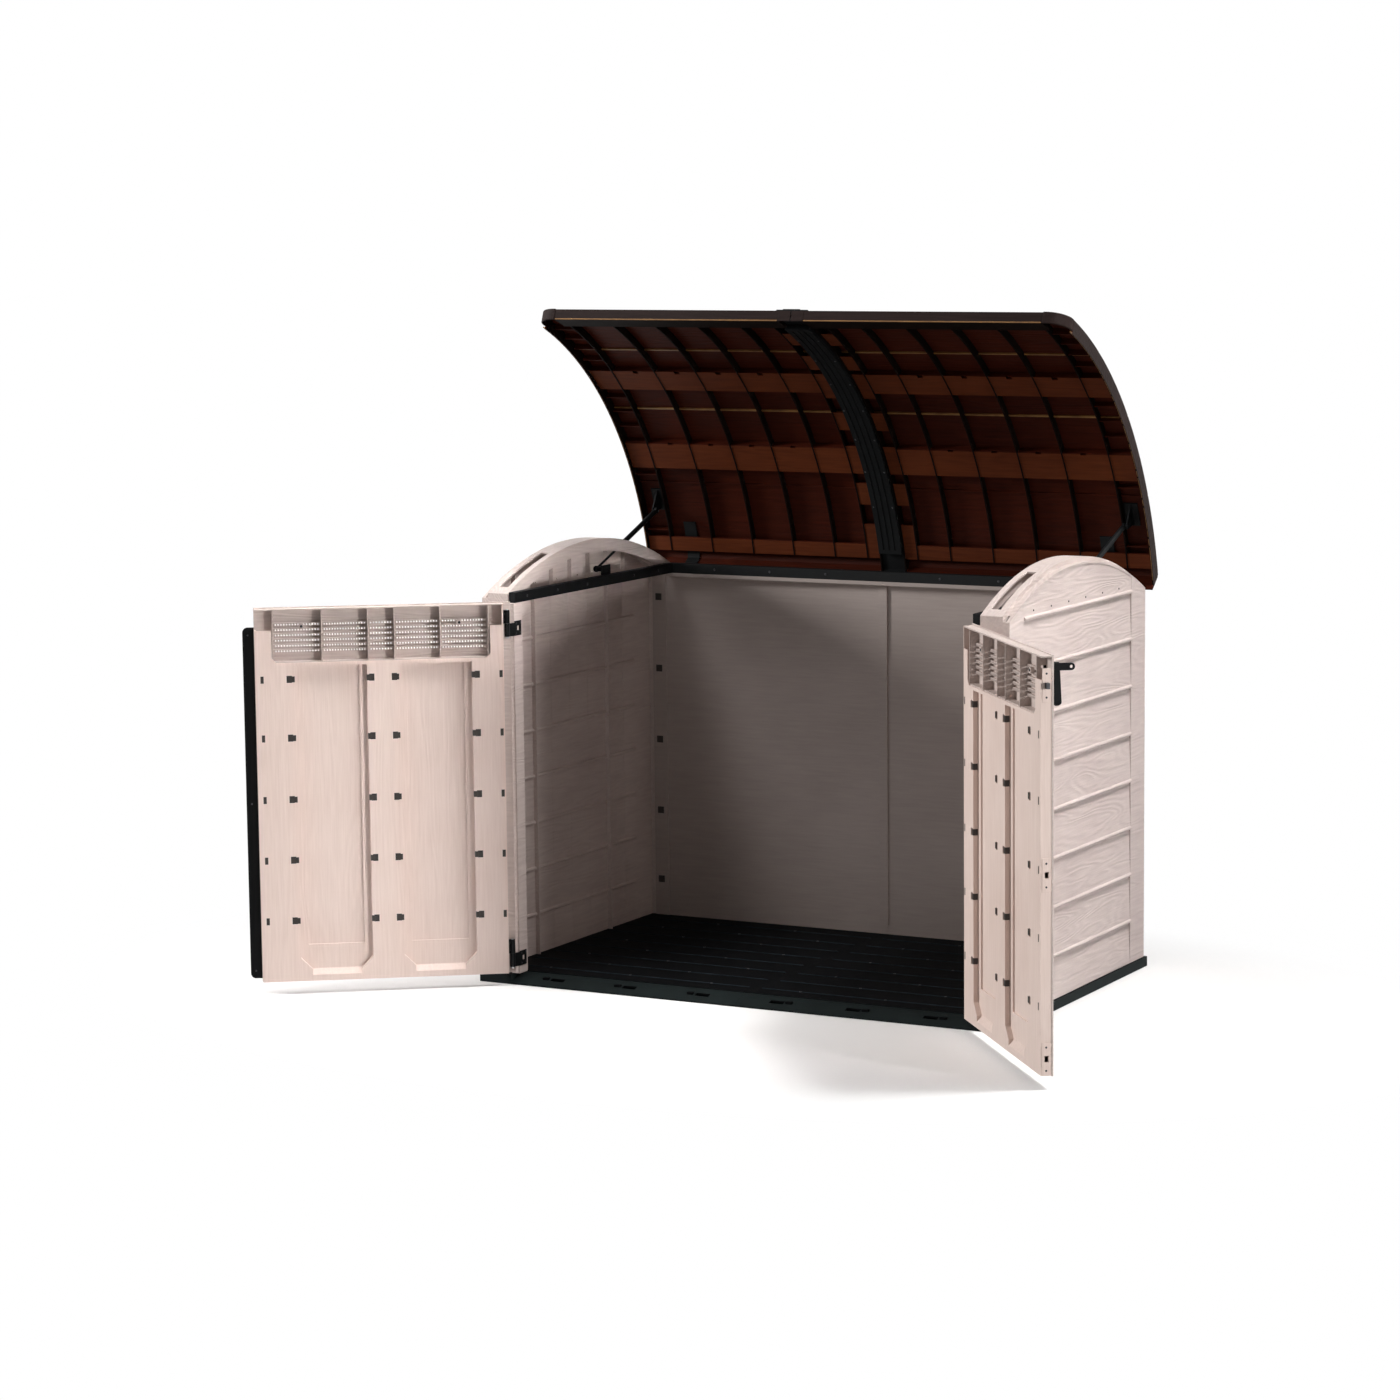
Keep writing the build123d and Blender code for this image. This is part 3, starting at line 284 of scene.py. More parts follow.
# Each solid with the width of its rounding in mm and its finish
dressing = {
    "left_side_wall": (1.2, wallPaintedShadeResin, ribCuts), "right_side_wall": (1.2, wallPaintedShadeResin, ribCuts),
    "back_wall_left": (1.2, backPaintedShadeResin), "back_wall_right": (1.2, backPaintedShadeResin),
    "floor_left": (1.2, deckResin), "floor_right": (1.2, deckResin),
    "left_top_rail": (1.5, blackCoat), "right_top_rail": (1.5, blackCoat), "rear_top_rail": (1.5, blackCoat),
    "lid_left_panel": (1.0, lidInnerGlowAndShade), "lid_right_panel": (1.0, lidInnerGlowAndShade),
    "lid_center_beam": (1.5, blackResin), "lid_left_corner_cap": (2.0, lidResin),
    "lid_right_corner_cap": (2.0, lidResin),
    "lid_left_hinge_arm": (0.8, blackCoat), "lid_right_hinge_arm": (0.8, blackCoat),
    "lid_left_hinge_bracket": (0.8, blackCoat), "lid_right_hinge_bracket": (0.8, blackCoat),
    "left_strut_foot": (0.6, blackCoat), "right_strut_foot": (0.6, blackCoat),
    "left_strut_head": (0.6, blackCoat), "right_strut_head": (0.6, blackCoat),
    "left_strut_barrel": (0.8, blackCoat), "right_strut_barrel": (0.8, blackCoat),
    "left_strut_rod": (0.5, blackCoat), "right_strut_rod": (0.5, blackCoat),
    "left_door_outer": (0.8, leftSkinResin), "left_door_inner": (1.2, leftDoorResin),
    "right_door_outer": (0.8, rightSkinResin), "right_door_inner": (1.2, rightDoorResin),
    "left_door_strip": (1.2, blackResin), "latch_base": (1.0, blackResin), "latch_handle": (5.0, blackResin),
    "latch_bolt": (0.8, screwSteel),
}
for hinge in ("left_upper", "left_lower", "right_upper", "right_lower"):
    dressing[hinge + "_hinge_plate"] = (0.5, blackCoat)
    dressing[hinge + "_hinge_leaf"] = (0.5, blackCoat)
    dressing[hinge + "_hinge_pin"] = (0.6, brightSteel)
for end in ("left", "right"):
    dressing["lid_" + end + "_hinge_pin"] = (0.6, brightSteel)
dressed = {name: softened(name, *how) for name, how in dressing.items()}
print("solids dressed:", len(dressed))


def reshape(name, turn, move):
    # move works on points of the shut part, mm
    back = turn.inverted()
    mesh = dressed[name].data
    for vertex in mesh.vertices:
        vertex.co = turn @ (Vector(move(back @ vertex.co / mm)) * mm)
    mesh.update()


# Below the rail most ribs of the side walls end: the photograph shows the second and the sixth alone
wallRibs = {"first": -345.0, "pitch": 115.0, "short": (0, 2, 3, 4, 6), "reach": 3.4, "depth": 15.0,
            "top": 1156.0}


def withoutShortRibs(point):
    middles = [wallRibs["first"] + wallRibs["pitch"] * k for k in wallRibs["short"]]
    onRib = any(abs(point.y - middle) < wallRibs["reach"] for middle in middles)
    if onRib and point.z < wallRibs["top"] and wallFace - wallRibs["depth"] < abs(point.x) < wallFace:
        return (math.copysign(wallFace, point.x), point.y, point.z)
    return point


for end in ("left", "right"):
    reshape(end + "_side_wall", restTurn["cabinet"], withoutShortRibs)

# The latch grip is as thick as it is wide, with a rounded lower end
grip = {"middle": -585.0, "under": 1124.0, "fuller": 22 / 12, "ballZ": 1041.0, "ballRadius": 11.0,
        "least": 0.1}


def fullGrip(point):
    if point.z > grip["under"]:
        return point
    past = max(0.0, (grip["ballZ"] - point.z) / grip["ballRadius"])
    swell = grip["fuller"] * math.sqrt(max(grip["least"], 1 - past * past))
    return (point.x, grip["middle"] + (point.y - grip["middle"]) * swell, point.z)


reshape("latch_handle", restTurn["right_door"], fullGrip)

# The nose of the lid beam lies back in line with the rim
rimUp = Vector((0, -0.50150, 0.86516))
rimAhead = Vector((0, -0.86516, -0.50150))
rimTop = Vector((0, lidArc["y"], lidArc["z"])) + rimUp * lidArc["radius"]
noseProud = 0.3  # what the nose may still stand out, mm


def levelNose(point):
    ahead = (point - rimTop).dot(rimAhead)
    return point - rimAhead * (ahead - noseProud) if ahead > noseProud else point


reshape("lid_center_beam", restTurn["lid"], levelNose)
print("forms eased")

# The lid panels carry several finishes, told apart by where a face lies in the shut lid and how it leans
lidPaint = {"skinOver": 1131.0, "skinLean": -0.3, "skirtX": 883.5, "skirtLean": 0.7, "frontY": -548.0,
            "frontLean": -0.5, "backY": 535.0, "backLean": 0.3, "laps": (-302, -3), "lapReach": 4.5,
            "ledgeFrom": 1121.0, "ledgeTo": 1130.5, "ledgeLean": 0.5, "ribLean": 0.8, "ribTo": 1106.0,
            "bandTo": 1109.0, "bandLean": -0.8}
lidFinishes = [lidInnerGlowAndShade, lidResin, lidBandPaintedLight, lidRibPaintedShade, lidLipPaintedGlow]
unturnLid = restTurn["lid"].inverted()
unturnAxes = unturnLid.to_3x3()


def lidFinish(spot, facing):
    out = Vector((0, spot.y - lidArc["y"], spot.z - lidArc["z"]))
    reach = out.length
    lean = facing.dot(out.normalized())
    outside = reach > lidPaint["skinOver"] and lean > lidPaint["skinLean"]
    skirt = abs(facing.x) > lidPaint["skirtLean"] and abs(spot.x) > lidPaint["skirtX"]
    front = spot.y < lidPaint["frontY"] and facing.y < lidPaint["frontLean"]
    rear = spot.y > lidPaint["backY"] and facing.y > lidPaint["backLean"]
    if outside or skirt or front or rear:
        return lidResin
    onLap = min(abs(spot.y - lap) for lap in lidPaint["laps"]) < lidPaint["lapReach"]
    onLedge = lidPaint["ledgeFrom"] < reach < lidPaint["ledgeTo"] and abs(facing.x) < lidPaint["ledgeLean"]
    # painted light: the lap ledges take the golden glow
    if onLap and onLedge:
        return lidLipPaintedGlow
    # rib sides take the painted shade
    if abs(facing.x) > lidPaint["ribLean"]:
        return lidRibPaintedShade
    # lower edges of the ribs take the painted shade, the bands the painted light
    if lean < lidPaint["bandLean"] and reach < lidPaint["bandTo"]:
        return lidRibPaintedShade if reach < lidPaint["ribTo"] else lidBandPaintedLight
    return lidInnerGlowAndShade


for end in ("left", "right"):
    panel = dressed["lid_" + end + "_panel"].data
    for finish in lidFinishes[1:]:
        panel.materials.append(finish)
    for face in panel.polygons:
        chosen = lidFinish(unturnLid @ face.center / mm, unturnAxes @ face.normal)
        face.material_index = lidFinishes.index(chosen)
print("lid finishes painted")


def paintFaces(name, finish, chosen):
    # the faces that the rule picks take a second finish
    mesh = dressed[name].data
    mesh.materials.append(finish)
    for face in mesh.polygons:
        if chosen(face.center / mm, face.normal):
            face.material_index = 1


# Painted light: the ramp and the outer skirts of the base, the faces that do not face straight up, are
# painted paler than the deck; the slots in the ramp stay dark
base = {"rampRear": -470.0, "rampFront": -540.0, "rampHalf": 765.0, "deckLean": 0.97, "slotLean": 0.5}
rearLean = 0.3  # the back wall has the tone of the side walls on faces that lean outwards by this


def paintedLightOnRampOrSkirt(spot, facing):
    onRamp = base["rampFront"] < spot.y < base["rampRear"] and abs(spot.x) < base["rampHalf"]
    inSlot = onRamp and abs(facing.z) < base["slotLean"]
    return facing.z < base["deckLean"] and not inSlot


for end in ("left", "right"):
    paintFaces("floor_" + end, rampPaintedLight, paintedLightOnRampOrSkirt)
    # inside, the back wall keeps its painted shade; faces that lean outwards take the tone of the side walls
    paintFaces("back_wall_" + end, rearResin, lambda spot, facing: facing.y > rearLean)
print("base and rear finishes painted")


# Geometry Nodes: one tree sets a shape on spots, one sets it along rows, one sweeps a bead on a path
def geometryTree(name, inputs):
    tree = bpy.data.node_groups.new(name, "GeometryNodeTree")
    for label, kind in inputs:
        tree.interface.new_socket(label, in_out="INPUT", socket_type=kind)
    tree.interface.new_socket("Pieces", in_out="OUTPUT", socket_type="NodeSocketGeometry")
    return tree, addNode(tree, "NodeGroupInput").outputs


def closeTree(tree, geometry, finish):
    whole = addNode(tree, "GeometryNodeRealizeInstances", {}, {}, {"Geometry": geometry}).outputs[0]
    coated = addNode(tree, "GeometryNodeSetMaterial", {}, {},
                     {"Geometry": whole, "Material": finish}).outputs[0]
    addNode(tree, "NodeGroupOutput", {}, {}, {"Pieces": coated})


def setOnPoints(tree, points, given):
    # the shape on every point, turned by the two directions that the points carry
    shape = addNode(tree, "GeometryNodeObjectInfo", {}, {}, {"Object": given["Shape"]}).outputs["Geometry"]
    axes = {}
    for axis, label in (("Primary Axis", "facing"), ("Secondary Axis", "upward")):
        axes[axis] = addNode(tree, "GeometryNodeInputNamedAttribute", {"data_type": "FLOAT_VECTOR"},
                             {"Name": label}).outputs["Attribute"]
    heading = addNode(tree, "FunctionNodeAxesToRotation", {"primary_axis": "Z", "secondary_axis": "Y"}, {},
                      axes).outputs[0]
    placed = addNode(tree, "GeometryNodeInstanceOnPoints", {}, {},
                     {"Points": points, "Instance": shape, "Rotation": heading}).outputs[0]
    closeTree(tree, placed, given["Finish"])


spotTree, given = geometryTree("setOnSpots", [("Spots", "NodeSocketGeometry"), ("Shape", "NodeSocketObject"),
                                              ("Finish", "NodeSocketMaterial")])
spotPoints = addNode(spotTree, "GeometryNodeMeshToPoints", {}, {}, {"Mesh": given["Spots"]}).outputs[0]
setOnPoints(spotTree, spotPoints, given)

rowTree, given = geometryTree("setAlongRows", [("Rows", "NodeSocketGeometry"), ("Shape", "NodeSocketObject"),
                                               ("Pitch", "NodeSocketFloat"),
                                               ("Finish", "NodeSocketMaterial")])
rowCurves = addNode(rowTree, "GeometryNodeMeshToCurve", {}, {}, {"Mesh": given["Rows"]}).outputs[0]
rowPoints = addNode(rowTree, "GeometryNodeCurveToPoints", {"mode": "LENGTH"}, {},
                    {"Curve": rowCurves, "Length": given["Pitch"]}).outputs["Points"]
setOnPoints(rowTree, rowPoints, given)

beadTree, given = geometryTree("sweepBead", [("Path", "NodeSocketGeometry"), ("Radius", "NodeSocketFloat"),
                                             ("Finish", "NodeSocketMaterial")])
beadCurves = addNode(beadTree, "GeometryNodeMeshToCurve", {}, {}, {"Mesh": given["Path"]}).outputs[0]
beadRound = addNode(beadTree, "GeometryNodeCurvePrimitiveCircle", {}, {"Resolution": 10},
                    {"Radius": given["Radius"]}).outputs["Curve"]
swept = addNode(beadTree, "GeometryNodeCurveToMesh", {}, {"Fill Caps": True},
                {"Curve": beadCurves, "Profile Curve": beadRound}).outputs[0]
closeTree(beadTree, swept, given["Finish"])


def grown(name, body, points, tree, values, edges=()):
    # points are (place, facing, upward) in the shut part, mm
    turn = restTurn[body]
    axes = turn.to_3x3()
    mesh = bpy.data.meshes.new(name)
    mesh.from_pydata([turn @ (Vector(p[0]) * mm) for p in points], list(edges), [])
    for label, index in (("facing", 1), ("upward", 2)):
        store = mesh.attributes.new(label, "FLOAT_VECTOR", "POINT")
        store.data.foreach_set("vector", [c for p in points for c in axes @ Vector(p[index])])
    piece = bpy.data.objects.new(name, mesh)
    bpy.context.scene.collection.objects.link(piece)
    maker = piece.modifiers.new("maker", "NODES")
    maker.node_group = tree
    for item in tree.interface.items_tree:
        if item.in_out == "INPUT" and item.name in values:
            maker[item.identifier] = values[item.name]
    made = plainMesh(piece)
    shape = bmesh.new()
    shape.from_mesh(made)
    bmesh.ops.recalc_face_normals(shape, faces=shape.faces)
    shape.to_mesh(made)
    shape.free()
    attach(piece, body)


patterns = []


def pattern(name, shape):
    mesh = bpy.data.meshes.new(name)
    shape.to_mesh(mesh)
    shape.free()
    made = bpy.data.objects.new(name, mesh)
    bpy.context.scene.collection.objects.link(made)
    patterns.append(made)
    return made


def bridge(shape, low, high):
    # a band of faces between two loops of the same count
    count = len(low)
    for k in range(count):
        shape.faces.new((low[k], low[(k + 1) % count], high[(k + 1) % count], high[k]))


def screwPattern(name, radius, height):
    # a low pan head with a round drive recess, standing on its spot
    # shares of the radius and of the height, from the foot to the recess
    profile = [(1.0, -0.3), (1.0, 0.35), (0.86, 0.8), (0.46, 1.0), (0.38, 0.35)]
    corners = 12
    turns = [2 * math.pi * k / corners for k in range(corners)]
    shape = bmesh.new()
    rings = [[shape.verts.new((radius * share * math.cos(a) * mm, radius * share * math.sin(a) * mm,
                               height * level * mm)) for a in turns] for share, level in profile]
    for low, high in zip(rings, rings[1:]):
        bridge(shape, low, high)
    shape.faces.new(rings[0][::-1])
    shape.faces.new(rings[-1])
    return pattern(name, shape)


def platePattern(name, width, height, thick, chamfer, hole=None):
    # a chamfered plate lying behind its spot, open in the middle where a hole is given
    shape = bmesh.new()

    def loop(w, h, z):
        corners = ((-1, -1), (1, -1), (1, 1), (-1, 1))
        return [shape.verts.new((sx * w / 2 * mm, sy * h / 2 * mm, z * mm)) for sx, sy in corners]

    loops = [loop(width, height, -thick), loop(width, height, -chamfer),
             loop(width - 2 * chamfer, height - 2 * chamfer, 0)]
    if hole:
        loops += [loop(hole[0], hole[1], 0), loop(hole[0], hole[1], -thick), loops[0]]
    for low, high in zip(loops, loops[1:]):
        bridge(shape, low, high)
    if not hole:
        shape.faces.new(loops[0][::-1])
        shape.faces.new(loops[-1])
    return pattern(name, shape)


toward = {"in": (0, 1, 0), "out": (0, -1, 0), "up": (0, 0, 1), "left": (-1, 0, 0), "right": (1, 0, 0)}


def crossings(xs, ys, zs, facing, upward="up"):
    # a spot at every crossing of the given places, mm in the shut part
    return [((x, y, z), toward[facing], toward[upward]) for z in zs for x in xs for y in ys]


def pairs(ends):
    return [(k, k + 1) for k in range(0, len(ends), 2)]


def onLid(x, y, radius):
    drop = y - lidArc["y"]
    rise = math.sqrt(radius * radius - drop * drop)
    return (x, y, lidArc["z"] + rise), (0, -drop / radius, -rise / radius), toward["right"]


# Screws: black pan heads, small ones on hinges, walls and trim, larger ones on rails, brackets and vents
screws = {
    "big": (4.2, 2.0), "small": (3.0, 1.2),  # radius and height
    "rail": {"x": 757, "z": 1184, "y": (-430, -245, -60, 240, 400)},
    "rearRail": {"y": 494, "z": 1184, "x": (-600, -400, -200, 200, 400, 600)},
    "hingePlate": {"x": 749, "y": (-510, -486), "z": (1077, 1108, 62, 93)},
    "hingeLeaf": {"x": 752, "y": (-549.5, -534.5), "z": (1121, 1141, 107, 130)},
    "lidBracket": {"x": (694, 766), "y": 538, "z": (1088, 1130)},
    "wall": {"x": 871.2, "z": 1197.4, "y": (-330, -200, -70, 60, 190, 320)},
    "vent": {"x": (617, 143), "y": -536, "z": 1118},
    "beam": {"x": 33, "radius": 1091, "first": -420, "pitch": 125, "count": 7},
    "strip": {"x": 17, "y": -560.6, "z": (1092, 580, 68)},
    "latch": {"y": -563, "xz": ((46, 1030), (72, 1030), (72, 1156))},
    "striker": {"x": 1.6, "y": -540, "z": (1061, 1125, 551, 615, 51, 115)},
}
bigScrew = screwPattern("panScrew", *screws["big"])
smallScrew = screwPattern("smallScrew", *screws["small"])
bigSpots = {body: [] for body in restTurn}
smallSpots = {body: [] for body in restTurn}
rail, plate, leaf = screws["rail"], screws["hingePlate"], screws["hingeLeaf"]
bracket, wall, vent, beam = screws["lidBracket"], screws["wall"], screws["vent"], screws["beam"]
rearRail, strip, latch, striker = screws["rearRail"], screws["strip"], screws["latch"], screws["striker"]
for side, inner, outer in ((-1, "right", "left"), (1, "left", "right")):
    door = outer + "_door"
    bigSpots["cabinet"] += crossings([side * rail["x"]], rail["y"], [rail["z"]], inner)
    bigSpots["cabinet"] += crossings([side * x for x in bracket["x"]], [bracket["y"]], bracket["z"], "in")
    smallSpots["cabinet"] += crossings([side * plate["x"]], plate["y"], plate["z"], inner)
    smallSpots["cabinet"] += crossings([side * wall["x"]], wall["y"], [wall["z"]], outer)
    smallSpots[door] += crossings([side * leaf["x"]], leaf["y"], leaf["z"], outer)
    bigSpots[door] += crossings([side * x for x in vent["x"]], [vent["y"]], [vent["z"]], "in")
    smallSpots["lid"] += [onLid(side * beam["x"], beam["first"] + beam["pitch"] * k, beam["radius"])
                          for k in range(beam["count"])]
bigSpots["cabinet"] += crossings(rearRail["x"], [rearRail["y"]], [rearRail["z"]], "out")
smallSpots["left_door"] += crossings([strip["x"]], [strip["y"]], strip["z"], "in")
for x, z in latch["xz"]:
    smallSpots["right_door"] += crossings([x], [latch["y"]], [z], "out")
smallSpots["right_door"] += crossings([striker["x"]], [striker["y"]], striker["z"], "left")
for body in restTurn:
    for name, spots, shape in (("_screws", bigSpots, bigScrew), ("_small_screws", smallSpots, smallScrew)):
        if spots[body]:
            grown(body + name, body, spots[body], spotTree, {"Shape": shape, "Finish": screwSteel})
print("screws set")

# Clips: dark plates that close the windows in the door panels, and squares in the rear corners
clips = {"rows": (960, 782, 595, 410, 224), "columns": (668, 418, 350, 103), "columnY": -527.8,
         "edges": (740, 22), "edgeY": -524.4, "cornerX": (-822, 822), "cornerY": 517.5,
         "cornerZ": (1085, 850, 615, 380, 150),
         # width, height, thickness and chamfer
         "wide": (18.4, 25, 2.2, 0.4), "slim": (9.6, 21.6, 3.6, 0.4), "square": (22, 22, 3.5, 1.0)}
wideClip = platePattern("wideClip", *clips["wide"])
slimClip = platePattern("slimClip", *clips["slim"])
squareClip = platePattern("squareClip", *clips["square"])
for side, door in doorSides:
    wide = crossings([side * x for x in clips["columns"]], [clips["columnY"]], clips["rows"], "in")
    slim = crossings([side * x for x in clips["edges"]], [clips["edgeY"]], clips["rows"], "in")
    for name, spots, shape in (("_clips", wide, wideClip), ("_edge_clips", slim, slimClip)):
        grown(door + name, door, spots, spotTree, {"Shape": shape, "Finish": clipResin})
corners = crossings(clips["cornerX"], [clips["cornerY"]], clips["cornerZ"], "out")
grown("corner_clips", "cabinet", corners, spotTree, {"Shape": squareClip, "Finish": clipResin})
print("clips set")

# More of the dark clips show on the side walls of the pockets; walls give their x and the way they face
pocketClips = {"walls": ((432, 1), (652, -1), (119, 1), (336, -1)), "proud": 0.5, "sideY": -531.0,
               "overlap": 0.3, "flatY": -523.6, "side": (13, 18, 1.6, 0.3), "flat": (10, 18, 1.2, 0.3)}
sideClip = platePattern("sideClip", *pocketClips["side"])
flatClip = platePattern("flatClip", *pocketClips["flat"])
flatIn = pocketClips["flat"][0] / 2 - pocketClips["overlap"]
for side, door in doorSides:
    sides = []
    flats = []
    for x, way in pocketClips["walls"]:
        facing = "right" if side * way > 0 else "left"
        sides += crossings([side * (x + pocketClips["proud"] * way)], [pocketClips["sideY"]], clips["rows"],
                           facing)
        flats += crossings([side * (x - way * flatIn)], [pocketClips["flatY"]], clips["rows"], "in")
    for name, spots, shape in (("_pocket_clips", sides, sideClip), ("_flat_clips", flats, flatClip)):
        grown(door + name, door, spots, spotTree, {"Shape": shape, "Finish": clipResin})
print("pocket clips set")

# Vent combs: fins hang from the louvre blades and keep wasps out
combs = {"pitch": 8.0, "ribs": (704, 559, 421, 342, 203, 57), "ribGap": 5, "y": -547.2, "top": 1124.8,
         "step": 16, "count": 6, "finHalf": 2.5, "finTop": 2.2, "finFoot": -4.6, "finFront": 2.0,
         "finBack": -3.5, "taper": 0.8, "rounding": 0.3}
finShape = bmesh.new()
half, top, foot = combs["finHalf"], combs["finTop"], combs["finFoot"]
finOutline = [(-half, top), (half, top), (half, foot), (-half, foot)]
finFront = [finShape.verts.new((x * combs["taper"] * mm, z * mm, combs["finFront"] * mm))
            for x, z in finOutline]
finBack = [finShape.verts.new((x * mm, z * mm, combs["finBack"] * mm)) for x, z in finOutline]
finShape.faces.new(finFront)
finShape.faces.new(finBack[::-1])
bridge(finShape, finBack, finFront)
bmesh.ops.bevel(finShape, geom=finShape.edges[:], offset=combs["rounding"] * mm, segments=1, affect="EDGES")
combFin = pattern("combFin", finShape)
for (side, door), resin in zip(doorSides, (leftSkinResin, rightSkinResin)):
    rowEnds = []
    for k in range(combs["count"]):
        for far, near in zip(combs["ribs"], combs["ribs"][1:]):
            xs = (side * (far - combs["ribGap"]), side * (near + combs["ribGap"]))
            rowEnds += crossings(xs, [combs["y"]], [combs["top"] - combs["step"] * k], "in")
    grown(door + "_combs", door, rowEnds, rowTree,
          {"Shape": combFin, "Pitch": combs["pitch"] * mm, "Finish": resin}, pairs(rowEnds))
print("vent combs set")

# Rounded beads along the laps: they catch the light above and shade the board below
laps = {"top": 1175.4, "pitch": 145.3, "count": 8, "lift": 3.5, "wallX": 871.8, "wallEnds": (-402, 417),
        "wallRadius": 6.0, "rearY": 532.6, "rearEnds": (-798, 798), "rearRadius": 4.0, "doorY": -559.8,
        "doorEnds": (92, 698), "doorRadius": 3.0, "innerX": 861.6, "innerDrop": 0.5, "innerRadius": 6.3}
lapLines = [laps["top"] - laps["pitch"] * k for k in range(laps["count"])]
raised = [z + laps["lift"] for z in lapLines]
lowered = [z - laps["innerDrop"] for z in lapLines]
wallEnds = crossings((-laps["wallX"], laps["wallX"]), laps["wallEnds"], raised, "out")
rearEnds = crossings(laps["rearEnds"], [laps["rearY"]], raised[1:], "out")
innerEnds = crossings((-laps["innerX"], laps["innerX"]), laps["wallEnds"], lowered[1:], "out")
doorEnds = {door: crossings([side * x for x in laps["doorEnds"]], [laps["doorY"]], raised[1:], "out")
            for side, door in doorSides}
for name, body, ends, radius, resin in (
        ("inner_lap_beads", "cabinet", innerEnds, laps["innerRadius"], wallPaintedShadeResin),
        ("wall_lap_beads", "cabinet", wallEnds, laps["wallRadius"], wallPaintedShadeResin),
        ("rear_lap_beads", "cabinet", rearEnds, laps["rearRadius"], rearResin),
        ("left_door_lap_beads", "left_door", doorEnds["left_door"], laps["doorRadius"], leftSkinResin),
        ("right_door_lap_beads", "right_door", doorEnds["right_door"], laps["doorRadius"], rightSkinResin)):
    grown(name, body, ends, beadTree, {"Radius": radius * mm, "Finish": resin}, pairs(ends))
print("lap beads swept")

# Deck: low ridges between the planks with studs on them, and a rolled edge above the ramp
deck = {"first": -400.0, "pitch": 120.0, "count": 8, "ends": (22, 838), "top": 30.0, "radius": 2.2,
        "studX": (150, 290), "studGap": 280.0, "studs": 3, "studZ": 30.5,
        "edgeY": -470.5, "edgeZ": 29.5, "edgeEnds": (1, 768), "edgeRadius": 3.0}
ridgeEnds = []
edgeEnds = []
studSpots = []
for side in (-1, 1):
    for k in range(deck["count"]):
        y = deck["first"] + deck["pitch"] * k
        odd = k % 2  # studs stand staggered, one fewer on every second ridge
        studXs = [side * (deck["studX"][odd] + deck["studGap"] * i) for i in range(deck["studs"] - odd)]
        ridgeEnds += crossings([side * x for x in deck["ends"]], [y], [deck["top"]], "up", "in")
        studSpots += crossings(studXs, [y], [deck["studZ"]], "up", "in")
    edgeEnds += crossings([side * x for x in deck["edgeEnds"]], [deck["edgeY"]], [deck["edgeZ"]], "up", "in")
# the ridges carry a painted highlight
for name, ends, radius, resin in (("deck_ridges", ridgeEnds, deck["radius"], ridgePaintedHighlight),
                                  ("deck_edge", edgeEnds, deck["edgeRadius"], deckResin)):
    grown(name, "cabinet", ends, beadTree, {"Radius": radius * mm, "Finish": resin},
          pairs(ends))
grown("deck_studs", "cabinet", studSpots, spotTree, {"Shape": bigScrew, "Finish": screwSteel})
print("deck ridges swept")

# Striker plates let into the free edge of the right door
strikers = {"x": 1.6, "y": -540.5, "z": (1093, 583, 83), "plate": (25, 92, 1.6, 0.5), "hole": (12.5, 19)}
strikerPlate = platePattern("strikerPlate", *strikers["plate"], strikers["hole"])
strikerSpots = crossings([strikers["x"]], [strikers["y"]], strikers["z"], "left")
grown("striker_plates", "right_door", strikerSpots, spotTree,
      {"Shape": strikerPlate, "Finish": rightDoorResin})
print("strikers set")

# The rim of the lid runs on over the nose of the beam and leaves a narrow gap in the middle
rim = {"plate": (39.5, 32.0, 1.4, 0.6), "middle": 21.4, "down": 16.6, "ahead": 1.3}
rimCover = platePattern("rimCover", *rim["plate"])
rimMiddle = rimTop - rimUp * rim["down"] + rimAhead * rim["ahead"]
rimSpots = [(rimMiddle + Vector((side * rim["middle"], 0, 0)), rimAhead, rimUp) for side in (-1, 1)]
grown("rim_covers", "lid", rimSpots, spotTree, {"Shape": rimCover, "Finish": lidResin})
print("rim covers set")

# A thin rolled lip runs along the lower edge of the lid's rim and side skirts, painted golden for the light
# shining through it
lip = {"radius": 2.2, "rimRadius": 1104.2, "rimY": -549.5, "rimEnds": (44, 812), "skirtRadius": 1095.0,
       "skirtX": 882.6, "skirtEnds": (-496, 532), "steps": 40}
lipPoints = []
lipEdges = []
skirtFrom, skirtTo = lip["skirtEnds"]
skirtYs = [skirtFrom + (skirtTo - skirtFrom) * k / lip["steps"] for k in range(lip["steps"] + 1)]
for side in (-1, 1):
    rimPath = [onLid(side * x, lip["rimY"], lip["rimRadius"]) for x in lip["rimEnds"]]
    skirtPath = [onLid(side * lip["skirtX"], y, lip["skirtRadius"]) for y in skirtYs]
    for path in (rimPath, skirtPath):
        start = len(lipPoints)
        lipPoints += path
        lipEdges += [(start + k, start + k + 1) for k in range(len(path) - 1)]
grown("lid_lip", "lid", lipPoints, beadTree, {"Radius": lip["radius"] * mm, "Finish": lidLipPaintedGlow},
      lipEdges)
for used in patterns:
    bpy.data.objects.remove(used)
print("lid lip swept")

